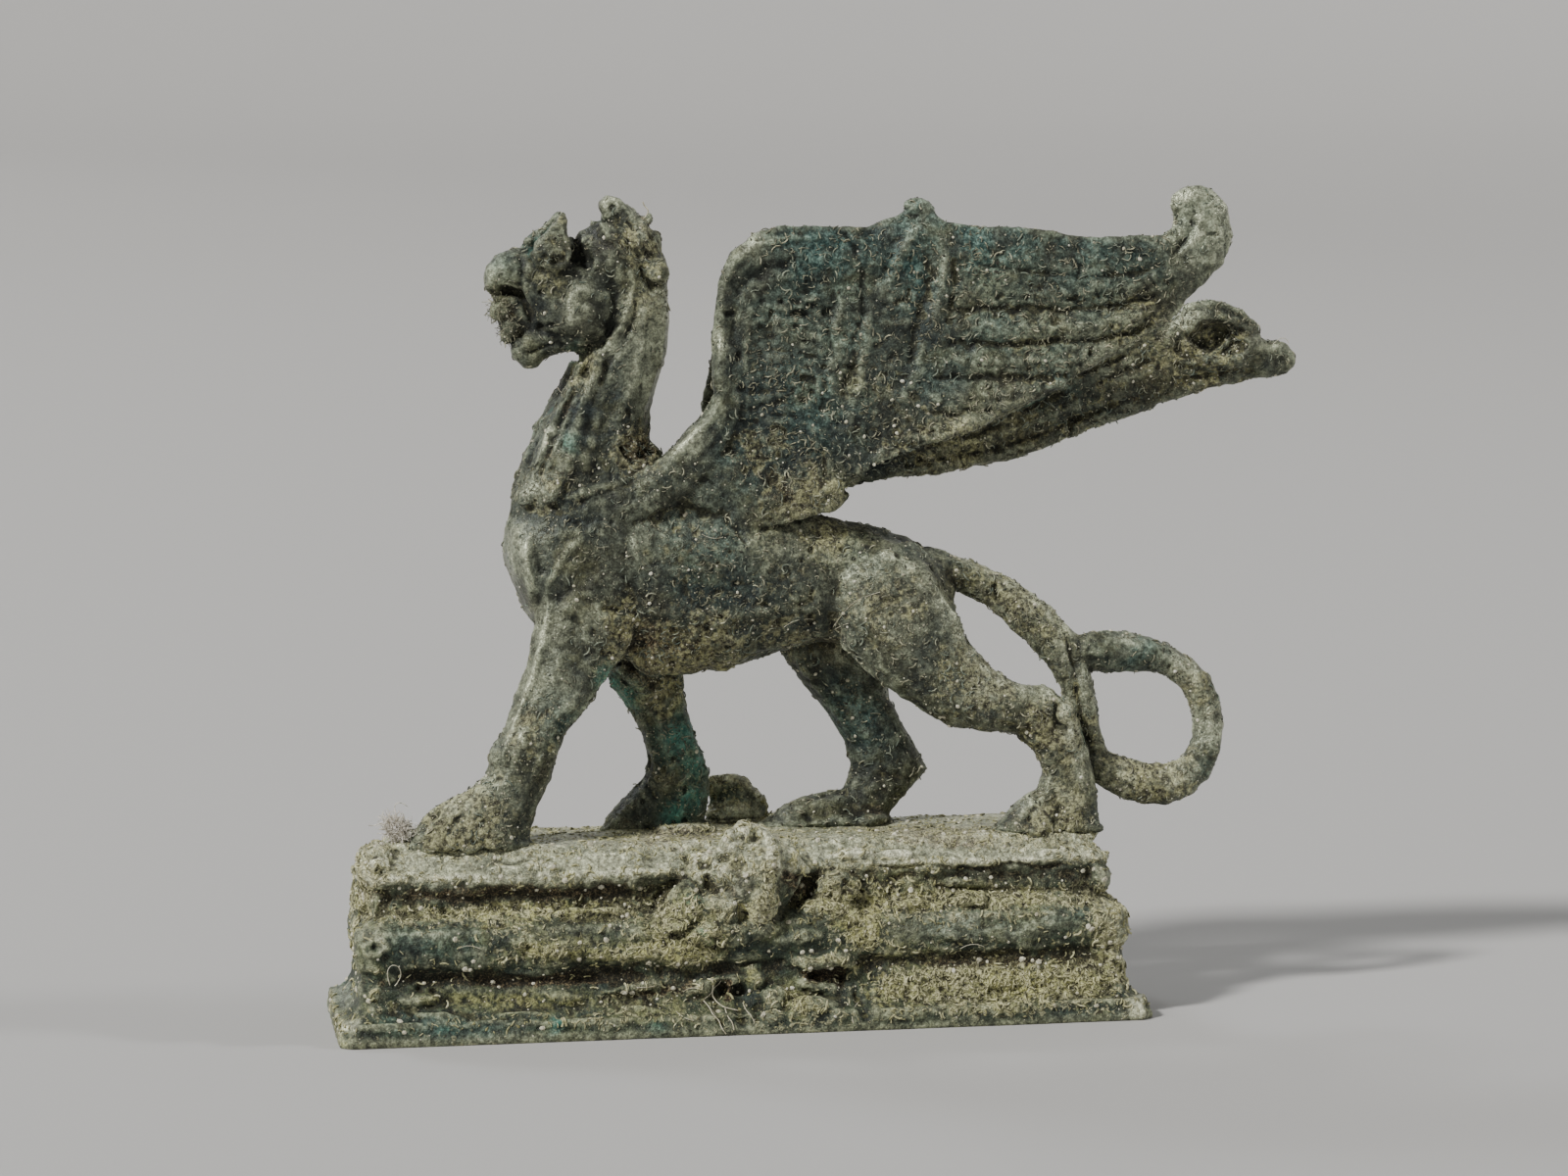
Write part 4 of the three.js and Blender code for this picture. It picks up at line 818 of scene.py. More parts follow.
plinthStrokes = [
    ([(395, 905), (500, 904), (600, 902), (665, 902)], 9, 0.3),
    ([(400, 930), (500, 930), (600, 930), (650, 926)], 6, 0.15),
    ([(390, 944), (470, 944), (530, 942)], 3, -0.12),
    ([(452, 930)], 4, -0.35),
    ([(520, 966), (580, 968), (640, 974), (700, 972), (735, 968)], 12, 0.3),
    ([(400, 996), (470, 1000), (560, 1000), (640, 998)], 8, -0.3),
    ([(428, 1008)], 4, -0.45),
    ([(443, 1010)], 3.5, -0.4),
    ([(420, 1022), (520, 1022), (620, 1024)], 9, -0.12),
    ([(345, 1052), (400, 1046), (520, 1044), (640, 1044)], 4, 0.15),
    ([(368, 962), (372, 974), (386, 977), (395, 966), (390, 958), (378, 958)], 3, 0.22),
    ([(382, 967)], 5, -0.35),
    ([(707, 884), (710, 875), (722, 869), (740, 867)], 3, 0.28),
    ([(714, 886), (728, 882)], 5, -0.35),
    ([(722, 892), (724, 904), (734, 912)], 4, -0.3),
    ([(705, 892), (716, 902), (722, 914)], 4, 0.22),
    ([(758, 842), (778, 856), (796, 871)], 3, 0.25),
    ([(762, 846), (783, 861), (788, 876), (782, 900), (772, 926), (762, 950)], 11, 0.26),
    ([(750, 876), (752, 895)], 9, -0.12),
    ([(806, 882), (805, 902), (800, 924), (794, 944)], 9, -0.45),
    ([(812, 890), (828, 902), (824, 918), (806, 926)], 6, -0.45),
    ([(816, 886), (822, 892)], 3, 0.25),
    ([(842, 888), (850, 905), (868, 925)], 5, 0.3),
    ([(856, 892), (884, 914)], 3, -0.25),
    ([(866, 886), (898, 908)], 3, 0.2),
    ([(665, 940), (682, 922), (692, 905), (700, 894)], 5, 0.3),
    ([(688, 948), (705, 938), (722, 950), (736, 958)], 3.5, 0.25),
    ([(680, 956), (698, 952)], 5, -0.25),
    ([(700, 960), (730, 945), (748, 930)], 5, 0.22),
    ([(668, 922), (680, 905), (690, 898)], 4, -0.25),
    ([(764, 982), (768, 994), (775, 1006)], 9, 0.45),
    ([(737, 998), (737, 1008), (741, 1016)], 7, -1.0),
    ([(752, 1004), (755, 1016)], 6, -0.6),
    ([(725, 1000), (732, 1030), (740, 1055)], 4, -0.2),
    ([(755, 1024), (760, 1050)], 5, -0.35),
    ([(812, 990), (826, 982), (845, 979), (862, 984), (878, 996)], 6, 0.22),
    ([(824, 992), (842, 997), (864, 999)], 7, -0.75),
    ([(800, 1008), (790, 1030), (786, 1050)], 9, 0.3),
    ([(812, 1022), (850, 1026), (862, 1044)], 8, 0.28),
    ([(770, 1022), (772, 1046)], 6, -0.45),
    ([(872, 1008), (882, 1030), (884, 1045)], 5, -0.35),
    ([(892, 1010), (896, 1040)], 4, 0.22),
    ([(870, 884), (950, 885), (1040, 883), (1100, 882)], 2.4, -0.18),
    ([(930, 904), (1000, 906), (1100, 908)], 3, -0.2),
    ([(880, 918), (960, 916), (1060, 918), (1130, 922)], 8, 0.25),
    ([(905, 950), (980, 952), (1090, 946)], 12, -0.15),
    ([(890, 1005), (960, 1003), (1050, 1000), (1140, 996)], 18, 0.45),
    ([(1100, 920), (1116, 924), (1136, 930)], 3, 0.18),
    ([(900, 1044), (1000, 1042), (1140, 1036)], 3, -0.12),
    ([(1160, 1028)], 8, 0.12),
    ([(400, 874), (520, 873), (700, 870)], 2.6, 0.07),
    ([(420, 886), (560, 886), (690, 882)], 2.6, -0.06),
    ([(560, 846), (590, 850), (640, 856)], 4, -0.08),
    ([(820, 868), (960, 870), (1080, 866)], 2.6, 0.07),
    ([(880, 852), (960, 856), (1030, 850)], 4, -0.08),
]
plinthPaint = {  # layer: lines over the photo's near side (pixels, width in pixels, strength)
    # the negative crust lines leave dark bare metal along the groove, undercut and foot bands, partly painted
    # shade
    "crust": [
        ([(400, 911), (660, 908)], 9, -0.2), ([(390, 962), (500, 962)], 17, -0.8),
        ([(400, 998), (640, 1000)], 10, -0.8), ([(345, 1050), (700, 1052)], 9, -0.4),
        ([(360, 985), (358, 1035)], 14, -0.6), ([(520, 968), (735, 972)], 12, 0.5),
        ([(890, 1006), (1140, 998)], 20, 0.9), ([(905, 952), (1095, 948)], 13, -0.2),
        ([(815, 996), (868, 997)], 8, -0.7), ([(738, 996), (744, 1030)], 10, -0.7),
        ([(800, 985), (850, 979), (882, 990)], 6, 0.5), ([(787, 872), (784, 900), (772, 945)], 8, 0.7),
        ([(802, 880), (800, 940)], 9, -0.5), ([(830, 900), (880, 930), (880, 975)], 22, 0.5),
        ([(890, 918), (1130, 922)], 8, 0.4), ([(1120, 900), (1140, 1010)], 16, 0.8),
        ([(670, 935), (740, 965)], 18, 0.45), ([(797, 1014), (830, 1024)], 12, 0.45),
        ([(420, 1022), (620, 1022)], 12, -0.45), ([(400, 884), (700, 880)], 10, -0.35),
        ([(800, 870), (1100, 870)], 8, -0.25), ([(500, 958), (650, 958)], 15, -0.35),
        ([(400, 1004), (640, 1004)], 12, -0.3), ([(375, 870), (370, 930)], 20, 0.45),
        ([(400, 931), (650, 928)], 6, 0.3), ([(900, 1044), (1140, 1038)], 4, -0.3),
    ],
    "ochre": [
        ([(420, 1020), (620, 1022)], 11, 0.7), ([(520, 968), (735, 972)], 12, 0.7),
        ([(786, 874), (780, 905), (768, 940)], 9, 0.9), ([(700, 905), (690, 945)], 16, 0.6),
        ([(890, 1010), (1140, 1000)], 18, 0.45), ([(797, 1018), (830, 1030)], 14, 0.8),
        ([(900, 960), (960, 990)], 16, 0.5), ([(400, 931), (650, 928)], 7, 0.5),
        ([(766, 985), (768, 1000)], 9, 0.9), ([(640, 852), (740, 846)], 8, 0.7),
        ([(870, 850), (1020, 852)], 7, 0.5), ([(870, 912), (1080, 912)], 12, 0.4),
        ([(430, 860), (520, 858)], 8, 0.5), ([(1110, 940), (1130, 985)], 12, 0.4),
        ([(640, 1030), (700, 1030)], 14, 0.4),
    ],
    # the soil line along the groove is partly painted shade
    "soil": [
        ([(400, 911), (660, 908)], 10, 0.45), ([(815, 996), (868, 997)], 9, 1.0),
        ([(738, 996), (744, 1024)], 9, 0.9), ([(640, 848), (745, 846)], 8, 0.9),
        ([(600, 862), (720, 860)], 6, 0.5), ([(860, 846), (1040, 850)], 8, 0.7),
        ([(905, 858), (1020, 862)], 8, 1.0), ([(650, 858), (735, 854)], 7, 0.8),
        ([(785, 875), (826, 915)], 9, 0.7), ([(930, 985), (1100, 990)], 12, 0.3),
        ([(470, 1000), (640, 1002)], 7, 0.5), ([(380, 870), (372, 920)], 16, 0.4),
        ([(640, 1010), (720, 1012)], 10, 0.6),
    ],
    "teal": [
        ([(390, 960), (500, 956)], 16, 0.3), ([(380, 1040), (520, 1050)], 12, 0.35),
        ([(560, 1046), (574, 1046)], 9, 1.0), ([(930, 945), (1090, 940)], 12, 0.35),
        ([(725, 825), (765, 820)], 16, 0.5), ([(720, 880), (738, 895)], 9, 0.45),
        ([(1090, 925), (1130, 935)], 10, 0.35), ([(356, 1000), (352, 1030)], 12, 0.3),
    ],
    "verdigris": [
        ([(562, 1044), (572, 1047)], 6, 1.0), ([(715, 955), (722, 950)], 14, 0.45),
        ([(705, 930), (700, 915)], 14, 0.35), ([(455, 1052)], 9, 0.35), ([(670, 1050)], 10, 0.3),
    ],
    # wear, and painted highlight on the upward-facing slope bands and on the far lug, which the body shades
    "worn": [
        ([(400, 884), (700, 880)], 11, 0.8), ([(800, 870), (1100, 868)], 9, 0.8),
        ([(1150, 1030), (1172, 1026)], 8, 1.0), ([(728, 832), (776, 826)], 15, 1.0),
        ([(757, 846), (782, 866)], 8, 0.7), ([(788, 872), (785, 900), (774, 940)], 7, 0.8),
        ([(345, 1052), (366, 1046)], 5, 0.9), ([(500, 846), (600, 845)], 5, 0.6),
        ([(910, 836), (1020, 836)], 6, 0.7), ([(385, 960), (392, 970)], 4, 0.7),
        ([(350, 1000), (356, 1030)], 10, 0.4), ([(1130, 900), (1152, 1010)], 15, 0.6),
        ([(900, 950), (1090, 944)], 10, 0.4), ([(738, 850), (748, 930)], 22, 0.45),
    ],
}
plinthLumps = [  # pixels, depth in mm, half sizes in mm, turn in degrees
    (384, 868, -2.5, (1.3, 2.2, 0.5), -20), (376, 884, -1.0, (0.9, 3.4, 1.5), 0),
    (370, 912, 0.5, (0.7, 3.4, 1.5), 0), (404, 862, -3.2, (1.4, 1.4, 0.4), 0),
    (386, 964, -7.2, (0.9, 0.6, 0.8), 0), (700, 845, 0.8, (2.4, 1.3, 0.45), 0),
    (648, 850, 1.2, (2.6, 1.3, 0.4), 0), (690, 838, 3.0, (1.4, 1.1, 0.6), 0),
    (808, 836, 3.4, (2.2, 1.3, 0.5), 0), (870, 834, 3.0, (2.4, 1.3, 0.5), 0),
    (1108, 850, -3.4, (0.9, 1.6, 0.4), 0), (728, 802, 4.6, (0.8, 0.55, 0.9), -8),
    (742, 800, 4.5, (0.8, 0.55, 0.9), 0), (768, 818, 4.6, (0.9, 0.55, 0.8), 12),
    (750, 832, 4.4, (2.0, 0.8, 1.0), 0), (764, 888, -7.1, (2.5, 1.7, 2.9), 0),
    (758, 853, -7.0, (0.9, 1.3, 1.1), 0), (775, 866, -7.1, (1.6, 1.3, 1.1), 32),
    (752, 866, -6.9, (1.3, 1.3, 1.5), -25), (752, 908, -7.2, (2.7, 1.3, 2.8), 0),
    (782, 878, -7.6, (1.1, 1.2, 1.6), -25), (772, 908, -7.3, (1.5, 1.5, 2.6), 0),
    (723, 886, -7.1, (1.5, 1.2, 1.35), 10), (742, 892, -7.3, (1.3, 1.3, 1.5), 0),
    (704, 922, -7.1, (1.9, 1.2, 1.7), -30), (738, 925, -7.5, (1.9, 1.3, 2.0), 0),
    (688, 942, -7.3, (1.9, 0.9, 1.1), -20), (745, 952, -7.9, (3.4, 0.8, 1.0), 0),
    (790, 1030, -8.0, (0.9, 0.8, 1.8), -12), (828, 1032, -8.6, (2.4, 0.7, 1.1), 0),
    (845, 978, -7.6, (2.6, 0.8, 0.6), 0), (852, 905, -6.9, (1.9, 0.9, 1.2), 0),
    (855, 935, -7.2, (2.6, 0.8, 1.4), 20),
]


def plinthExtras():  # lumps of crust over the mouldings, worn lumps on both ends and the lugs' lobes
    made = [(tuple(fromPhoto(u, v, y)), half, turn) for u, v, y, half, turn in plinthLumps]
    for y in plinth["endRows"]:
        made.append(((19.7, y, 10.4), (0.9, 2.4, 1.3), 0))
        made.append(((20.7, y, 4.4), (0.9, 2.4, 1.2), 0))
        made.append(((-34.4, y * 0.7, 10.2), (0.8, 2.2, 1.4), 0))
    rng = np.random.default_rng(33)
    for z, depth in plinth["profile"]:
        for side in (1, -1):
            for _ in range(plinth["sideLumps"]):
                x = plinth["middleX"] + rng.uniform(-27, 27)
                half = (rng.uniform(0.7, 2.2), rng.uniform(0.3, 0.5), rng.uniform(0.3, 0.7))
                place = (x, side * (depth - 0.15), z + rng.uniform(-0.5, 0.5))
                made.append((place, half, rng.uniform(-12, 12)))
    return made


def onOutside(points, normals):  # 1 on the moulded outside and top, 0 in the hollow underneath
    inward = points - (plinth["middleX"], 0, 6.0)
    inward[:, 0] = np.sign(inward[:, 0]) * np.maximum(np.abs(inward[:, 0]) - 24, 0)
    return ((normals * inward).sum(1) > -0.2).astype(float)


def plinthLayers(points, pixels, seen, outside):
    heights, *levels = zip(*plinth["levels"])
    layers = {name: np.zeros(len(points)) for name in ("soil", "teal", "verdigris", "ochre", "worn", "crust")}
    for name, shares in zip(("crust", "worn", "soil"), levels):
        layers[name] += np.interp(points[:, 2], heights, shares) * outside
    layers["crust"] += lumps(points, 3.5, 570) * 0.22 + (1 - outside) * 0.35
    wander = np.stack([lumps(points, 1.6, 575), lumps(points, 1.6, 576)], 1) * 5
    for k, (name, lines) in enumerate(plinthPaint.items()):
        loose = steps(0.2, 0.8, lumps(points, 6, 560 + k)) * 0.45 * (1 - seen)
        layers[name] = layers[name] + strokeField(pixels + wander, lines) * seen
        if name != "crust":
            layers[name] += loose
    return layers


def buildPlinth():
    mesh, edges, points, normals = clayFrom("plinth", plinth["voxel"], plinth["relax"], plinthExtras())
    seen = seenBy(mesh, points, normals, edges, 2)
    pixels = toPhoto(points)
    outside = onOutside(points, normals)
    layers = plinthLayers(points, pixels, seen, outside)
    wander = np.stack([lumps(points, 2.2, 510), lumps(points, 2.2, 511)], 1) * 4
    top = steps(0.7, 0.95, normals[:, 2]) * outside
    base = 1 - steps(0.4, 1.2, points[:, 2])
    lift = strokeField(pixels + wander, plinthStrokes) * seen
    lift += outside * (lumps(points, 4.5, 520) * 0.20 + lumps(points, 2.0, 521) * 0.14)
    lift = lift * (1 - 0.6 * top) + outside * lumps(points * (0.35, 1, 1), 1.0, 522) * 0.08
    points = points + normals * (lift * (1 - 0.85 * base))[:, None]
    points[:, 2] = np.maximum(points[:, 2], 0)
    writePoints(mesh, points)
    normals = readNormals(mesh)
    grain = sum(lumps(points, size, 530 + k) * height for k, (size, height) in enumerate(plinth["corrosion"]))
    pits = steps(0.5, 0.8, lumps(points, 0.9, 540)) * steps(-0.2, 0.5, lumps(points, 5, 541))
    crust = layers["crust"]
    rough = (0.25 + 0.75 * outside) * (1 - 0.75 * top) * (1 - 0.8 * base) * (0.5 + 0.7 * np.clip(crust, 0, 1))
    points = points + normals * ((grain - pits * 0.18) * rough)[:, None]
    points[:, 2] = np.maximum(points[:, 2], 0)
    points[:, 1] = np.clip(points[:, 1], -plinth["halfDepth"], plinth["halfDepth"])
    writePoints(mesh, points)
    layers["hollow"], layers["ridge"] = hollowAndRidge(mesh, points, edges, plinth["voxel"])
    raised = steps(0.35, 1.1, points[:, 2])
    broad = steps(-0.5, 0.3, lumps(points, 2.4, 621))
    clumped = 0.2 + 1.2 * steps(-0.2, 0.4, lumps(points, 0.8, 620)) * broad
    layers["grainy"] = np.clip(crust * clumped, 0.04, 1) * (0.12 + 0.88 * outside) * raised
    layers["white"] = np.clip(0.16 + 0.6 * layers["soil"], 0, 1) * outside * (1 - 0.5 * top) * raised
    matted = 0.85 * crust + 0.45 * layers["ridge"] + 0.25 * layers["ochre"] - 0.5 * layers["hollow"] - 0.18
    layers["fibrous"] = np.clip(matted * (0.35 + 0.9 * clumped), 0.05, 1) * outside * (1 - 0.7 * top) * raised
    return finishedSkin("plinthCrust", mesh, points, layers, plinth["triangles"])


class Wires:  # shorthand for wiring a node tree: a material, a shader group or a Geometry Nodes tree
    def __init__(self, tree):
        self.tree = tree

    def feed(self, socket, value):
        if isinstance(value, bpy.types.NodeSocket):
            self.tree.links.new(value, socket)
        elif value is not None:
            socket.default_value = value

    def node(self, kind, values=None, **settings):
        made = self.tree.nodes.new(kind)
        for key, value in settings.items():
            setattr(made, key, value)
        for key, value in (values or {}).items():
            self.feed(made.inputs[key], value)
        return made.outputs

    def math(self, operation, a, b=None, clamp=False):
        return self.node("ShaderNodeMath", {0: a, 1: b}, operation=operation, use_clamp=clamp)[0]

    def plus(self, a, b):
        return self.math("ADD", a, b)

    def minus(self, a, b):
        return self.math("SUBTRACT", a, b)

    def times(self, a, b, clamp=False):
        return self.math("MULTIPLY", a, b, clamp)

    def most(self, a, b):
        return self.math("MAXIMUM", a, b)

    def between(self, value, low, high, outLow=0.0, outHigh=1.0):  # eased from one range to another
        ends = {"Value": value, "From Min": low, "From Max": high, "To Min": outLow, "To Max": outHigh}
        return self.node("ShaderNodeMapRange", ends, interpolation_type="SMOOTHSTEP")["Result"]

    def noise(self, vector, scale, detail, rough, shift):
        values = {"Vector": vector, "W": shift, "Scale": scale, "Detail": detail, "Roughness": rough}
        return self.node("ShaderNodeTexNoise", values, noise_dimensions="4D")["Fac"]

    def blend(self, amount, under, over, mode="MIX"):
        values = {0: amount, 6: under, 7: over}
        return self.node("ShaderNodeMix", values, data_type="RGBA", blend_type=mode)[2]


def newTree(kind, name, inputs, outputs):  # a node group with named inputs (kind of socket and first value)
    tree = bpy.data.node_groups.new(name, kind)
    for label, (socketKind, value) in inputs.items():
        socket = tree.interface.new_socket(label, in_out="INPUT", socket_type="NodeSocket" + socketKind)
        if value is not None:
            socket.default_value = value
    for label, socketKind in outputs.items():
        tree.interface.new_socket(label, in_out="OUTPUT", socket_type="NodeSocket" + socketKind)
    given = tree.nodes.new("NodeGroupInput").outputs
    sent = tree.nodes.new("NodeGroupOutput").inputs
    return Wires(tree), given, sent


def grainGroup():  # round mineral grains: where they lie and how light each one is
    w, given, sent = newTree("ShaderNodeTree", "mineralGrains", {
        "Vector": ("Vector", None), "Grains Per Metre": ("Float", 2500.0), "Cover": ("Float", 0.3),
        "Radius": ("Float", 0.42)}, {"Mask": "Float", "Tone": "Float"})
    values = {"Vector": given["Vector"], "Scale": given["Grains Per Metre"], "Randomness": 1.0}
    cells = w.node("ShaderNodeTexVoronoi", values)
    chance, girth, tone = w.node("ShaderNodeSeparateColor", {0: cells["Color"]})[:3]
    size = w.times(given["Radius"], w.between(girth, 0.0, 1.0, 0.55, 1.1))
    disc = w.between(cells["Distance"], size, w.times(size, 0.6))
    w.feed(sent["Mask"], w.times(disc, w.math("LESS_THAN", chance, given["Cover"])))
    w.feed(sent["Tone"], tone)
    return w.tree


def dustGroup():  # dust and corrosion products that gather in hollows, broken up by noise
    w, given, sent = newTree("ShaderNodeTree", "settledDust", {
        "Vector": ("Vector", None), "Hollow": ("Float", 0.0), "Amount": ("Float", 0.5),
        "Patch Scale": ("Float", 900.0)}, {"Mask": "Float"})
    values = {"Vector": given["Vector"], "Scale": given["Patch Scale"], "Detail": 4.0, "Roughness": 0.65}
    cloud = w.node("ShaderNodeTexNoise", values)["Fac"]
    total = w.plus(w.times(given["Hollow"], 0.55), w.times(given["Amount"], 0.6))
    total = w.plus(total, w.times(w.minus(cloud, 0.5), 1.5))
    w.feed(sent["Mask"], w.between(total, 0.22, 0.75))
    return w.tree


def fibreGroup():  # a mat of short curled fibres: thin broken lines of two sizes
    w, given, sent = newTree("ShaderNodeTree", "mattedFibres", {
        "Vector": ("Vector", None), "Fibres Per Metre": ("Float", 1500.0), "Width": ("Float", 0.05),
        "Cover": ("Float", 0.5)}, {"Mask": "Float"})
    lines = []
    for shift, factor in ((1.0, 1.0), (7.0, 1.55)):
        scale = w.times(given["Fibres Per Metre"], factor)
        values = {"Vector": given["Vector"], "W": shift, "Scale": scale, "Detail": 1.0, "Distortion": 0.5}
        cloud = w.node("ShaderNodeTexNoise", values, noise_dimensions="4D")["Fac"]
        off = w.math("ABSOLUTE", w.minus(cloud, 0.5))
        lines.append(w.between(w.math("DIVIDE", off, given["Width"]), 0.2, 1.0, 1.0, 0.0))
    gaps = w.noise(given["Vector"], 2900, 1.0, 0.5, 3.0)
    reach = w.minus(0.62, w.times(given["Cover"], 0.24))
    kept = w.between(w.minus(gaps, reach), -0.03, 0.05)
    w.feed(sent["Mask"], w.times(w.most(*lines), kept))
    return w.tree


grains = grainGroup()
dust = dustGroup()
fibres = fibreGroup()

bronzeTones = {
    "deep": (0.004, 0.006, 0.005),
    "brown": (0.020, 0.019, 0.014),
    "slate": (0.027, 0.037, 0.038),
    "patina": (0.038, 0.045, 0.033),
    "olive": (0.105, 0.107, 0.056),
    "bloomAndHighlight": (0.32, 0.35, 0.24),
    "teal": (0.026, 0.088, 0.086),
    "paleTeal": (0.15, 0.255, 0.225),
    "verdigris": (0.08, 0.29, 0.23),
    "soil": (0.040, 0.030, 0.018),
    "warmSoil": (0.20, 0.15, 0.08),
    "ochre": (0.35, 0.34, 0.17),
    "mat": (0.28, 0.278, 0.155),
    "worn": (0.53, 0.56, 0.40),
    "fleck": (0.66, 0.63, 0.48),
    "fibre": (0.28, 0.27, 0.17),
}
bronzeAmounts = {
    "patina": 0.75, "bloomAndHighlight": 0.9, "crust": 0.75, "loose": 0.05, "shade": 0.8, "flecks": 0.34, "metal": 0.35,
    "relief": 0.15, "fibre": 0.45, "sheen": 0.1, "cover": (0.0, 0.45), "raised": 0.02, "rubbedAndHighlit": 0.36,
    "unrest": 0.62,
}
crustTones = dict(
    bronzeTones, deep=(0.005, 0.007, 0.005), brown=(0.014, 0.019, 0.012), slate=(0.024, 0.038, 0.032),
    patina=(0.045, 0.060, 0.033), olive=(0.15, 0.165, 0.075), bloomAndHighlight=(0.45, 0.475, 0.31),
    mat=(0.19, 0.195, 0.10), ochre=(0.38, 0.375, 0.15), worn=(0.66, 0.67, 0.49), fibre=(0.66, 0.64, 0.38),
)
crustAmounts = {
    "patina": 0.8, "bloomAndHighlight": 0.85, "crust": 0.8, "loose": 0.1, "shade": 0.62, "flecks": 0.34, "metal": 0.05,
    "relief": 0.24, "fibre": 0.7, "sheen": 0.05, "cover": (0.0, 0.9), "raised": 0.15, "rubbedAndHighlit": 0.28,
    "unrest": 0.5,
}
looseLooks = {  # dark, middle and light tone, the tone of some regions, roughness
    "oliveGrains": ((0.035, 0.036, 0.026), (0.12, 0.12, 0.08), (0.34, 0.33, 0.23), (0.09, 0.12, 0.10), 0.9),
    "beigeGrains": ((0.06, 0.062, 0.035), (0.30, 0.29, 0.15), (0.56, 0.54, 0.33), (0.38, 0.36, 0.15), 0.9),
    "paleMineral": ((0.36, 0.34, 0.24), (0.62, 0.60, 0.47), (0.78, 0.76, 0.66), (0.55, 0.52, 0.38), 0.7),
    "oliveHairs": ((0.08, 0.085, 0.06), (0.28, 0.272, 0.185), (0.58, 0.56, 0.38), (0.18, 0.25, 0.21), 0.85),
    "beigeHairs": ((0.12, 0.12, 0.065), (0.46, 0.445, 0.26), (0.76, 0.74, 0.50), (0.42, 0.41, 0.19), 0.85),
    "fluffFibres": ((0.46, 0.44, 0.38), (0.68, 0.65, 0.57), (0.84, 0.81, 0.72), (0.64, 0.58, 0.49), 0.9),
    "rootFibres": ((0.40, 0.37, 0.25), (0.58, 0.55, 0.42), (0.70, 0.67, 0.54), (0.55, 0.50, 0.36), 0.7),
}
patinaNoise = {  # scale per metre, detail, roughness, shift
    "broad": (150, 3, 0.55, 1.0),
    "middle": (520, 4, 0.6, 2.0),
    "patchy": (300, 4, 0.65, 8.0),
    "fine": (2300, 3, 0.6, 3.0),
    "finest": (6500, 2, 0.6, 4.0),
}
paintedLayers = ("hollow", "ridge", "crust", "worn", "teal", "ochre", "soil", "verdigris")


def newMaterial(name):
    material = bpy.data.materials.new(name)
    material.use_nodes = True
    wires = Wires(material.node_tree)
    return material, wires, material.node_tree.nodes["Principled BSDF"].inputs


def addBump(w, shader, strength, distance, height):
    values = {"Strength": strength, "Distance": distance, "Height": height}
    w.feed(shader["Normal"], w.node("ShaderNodeBump", values)["Normal"])


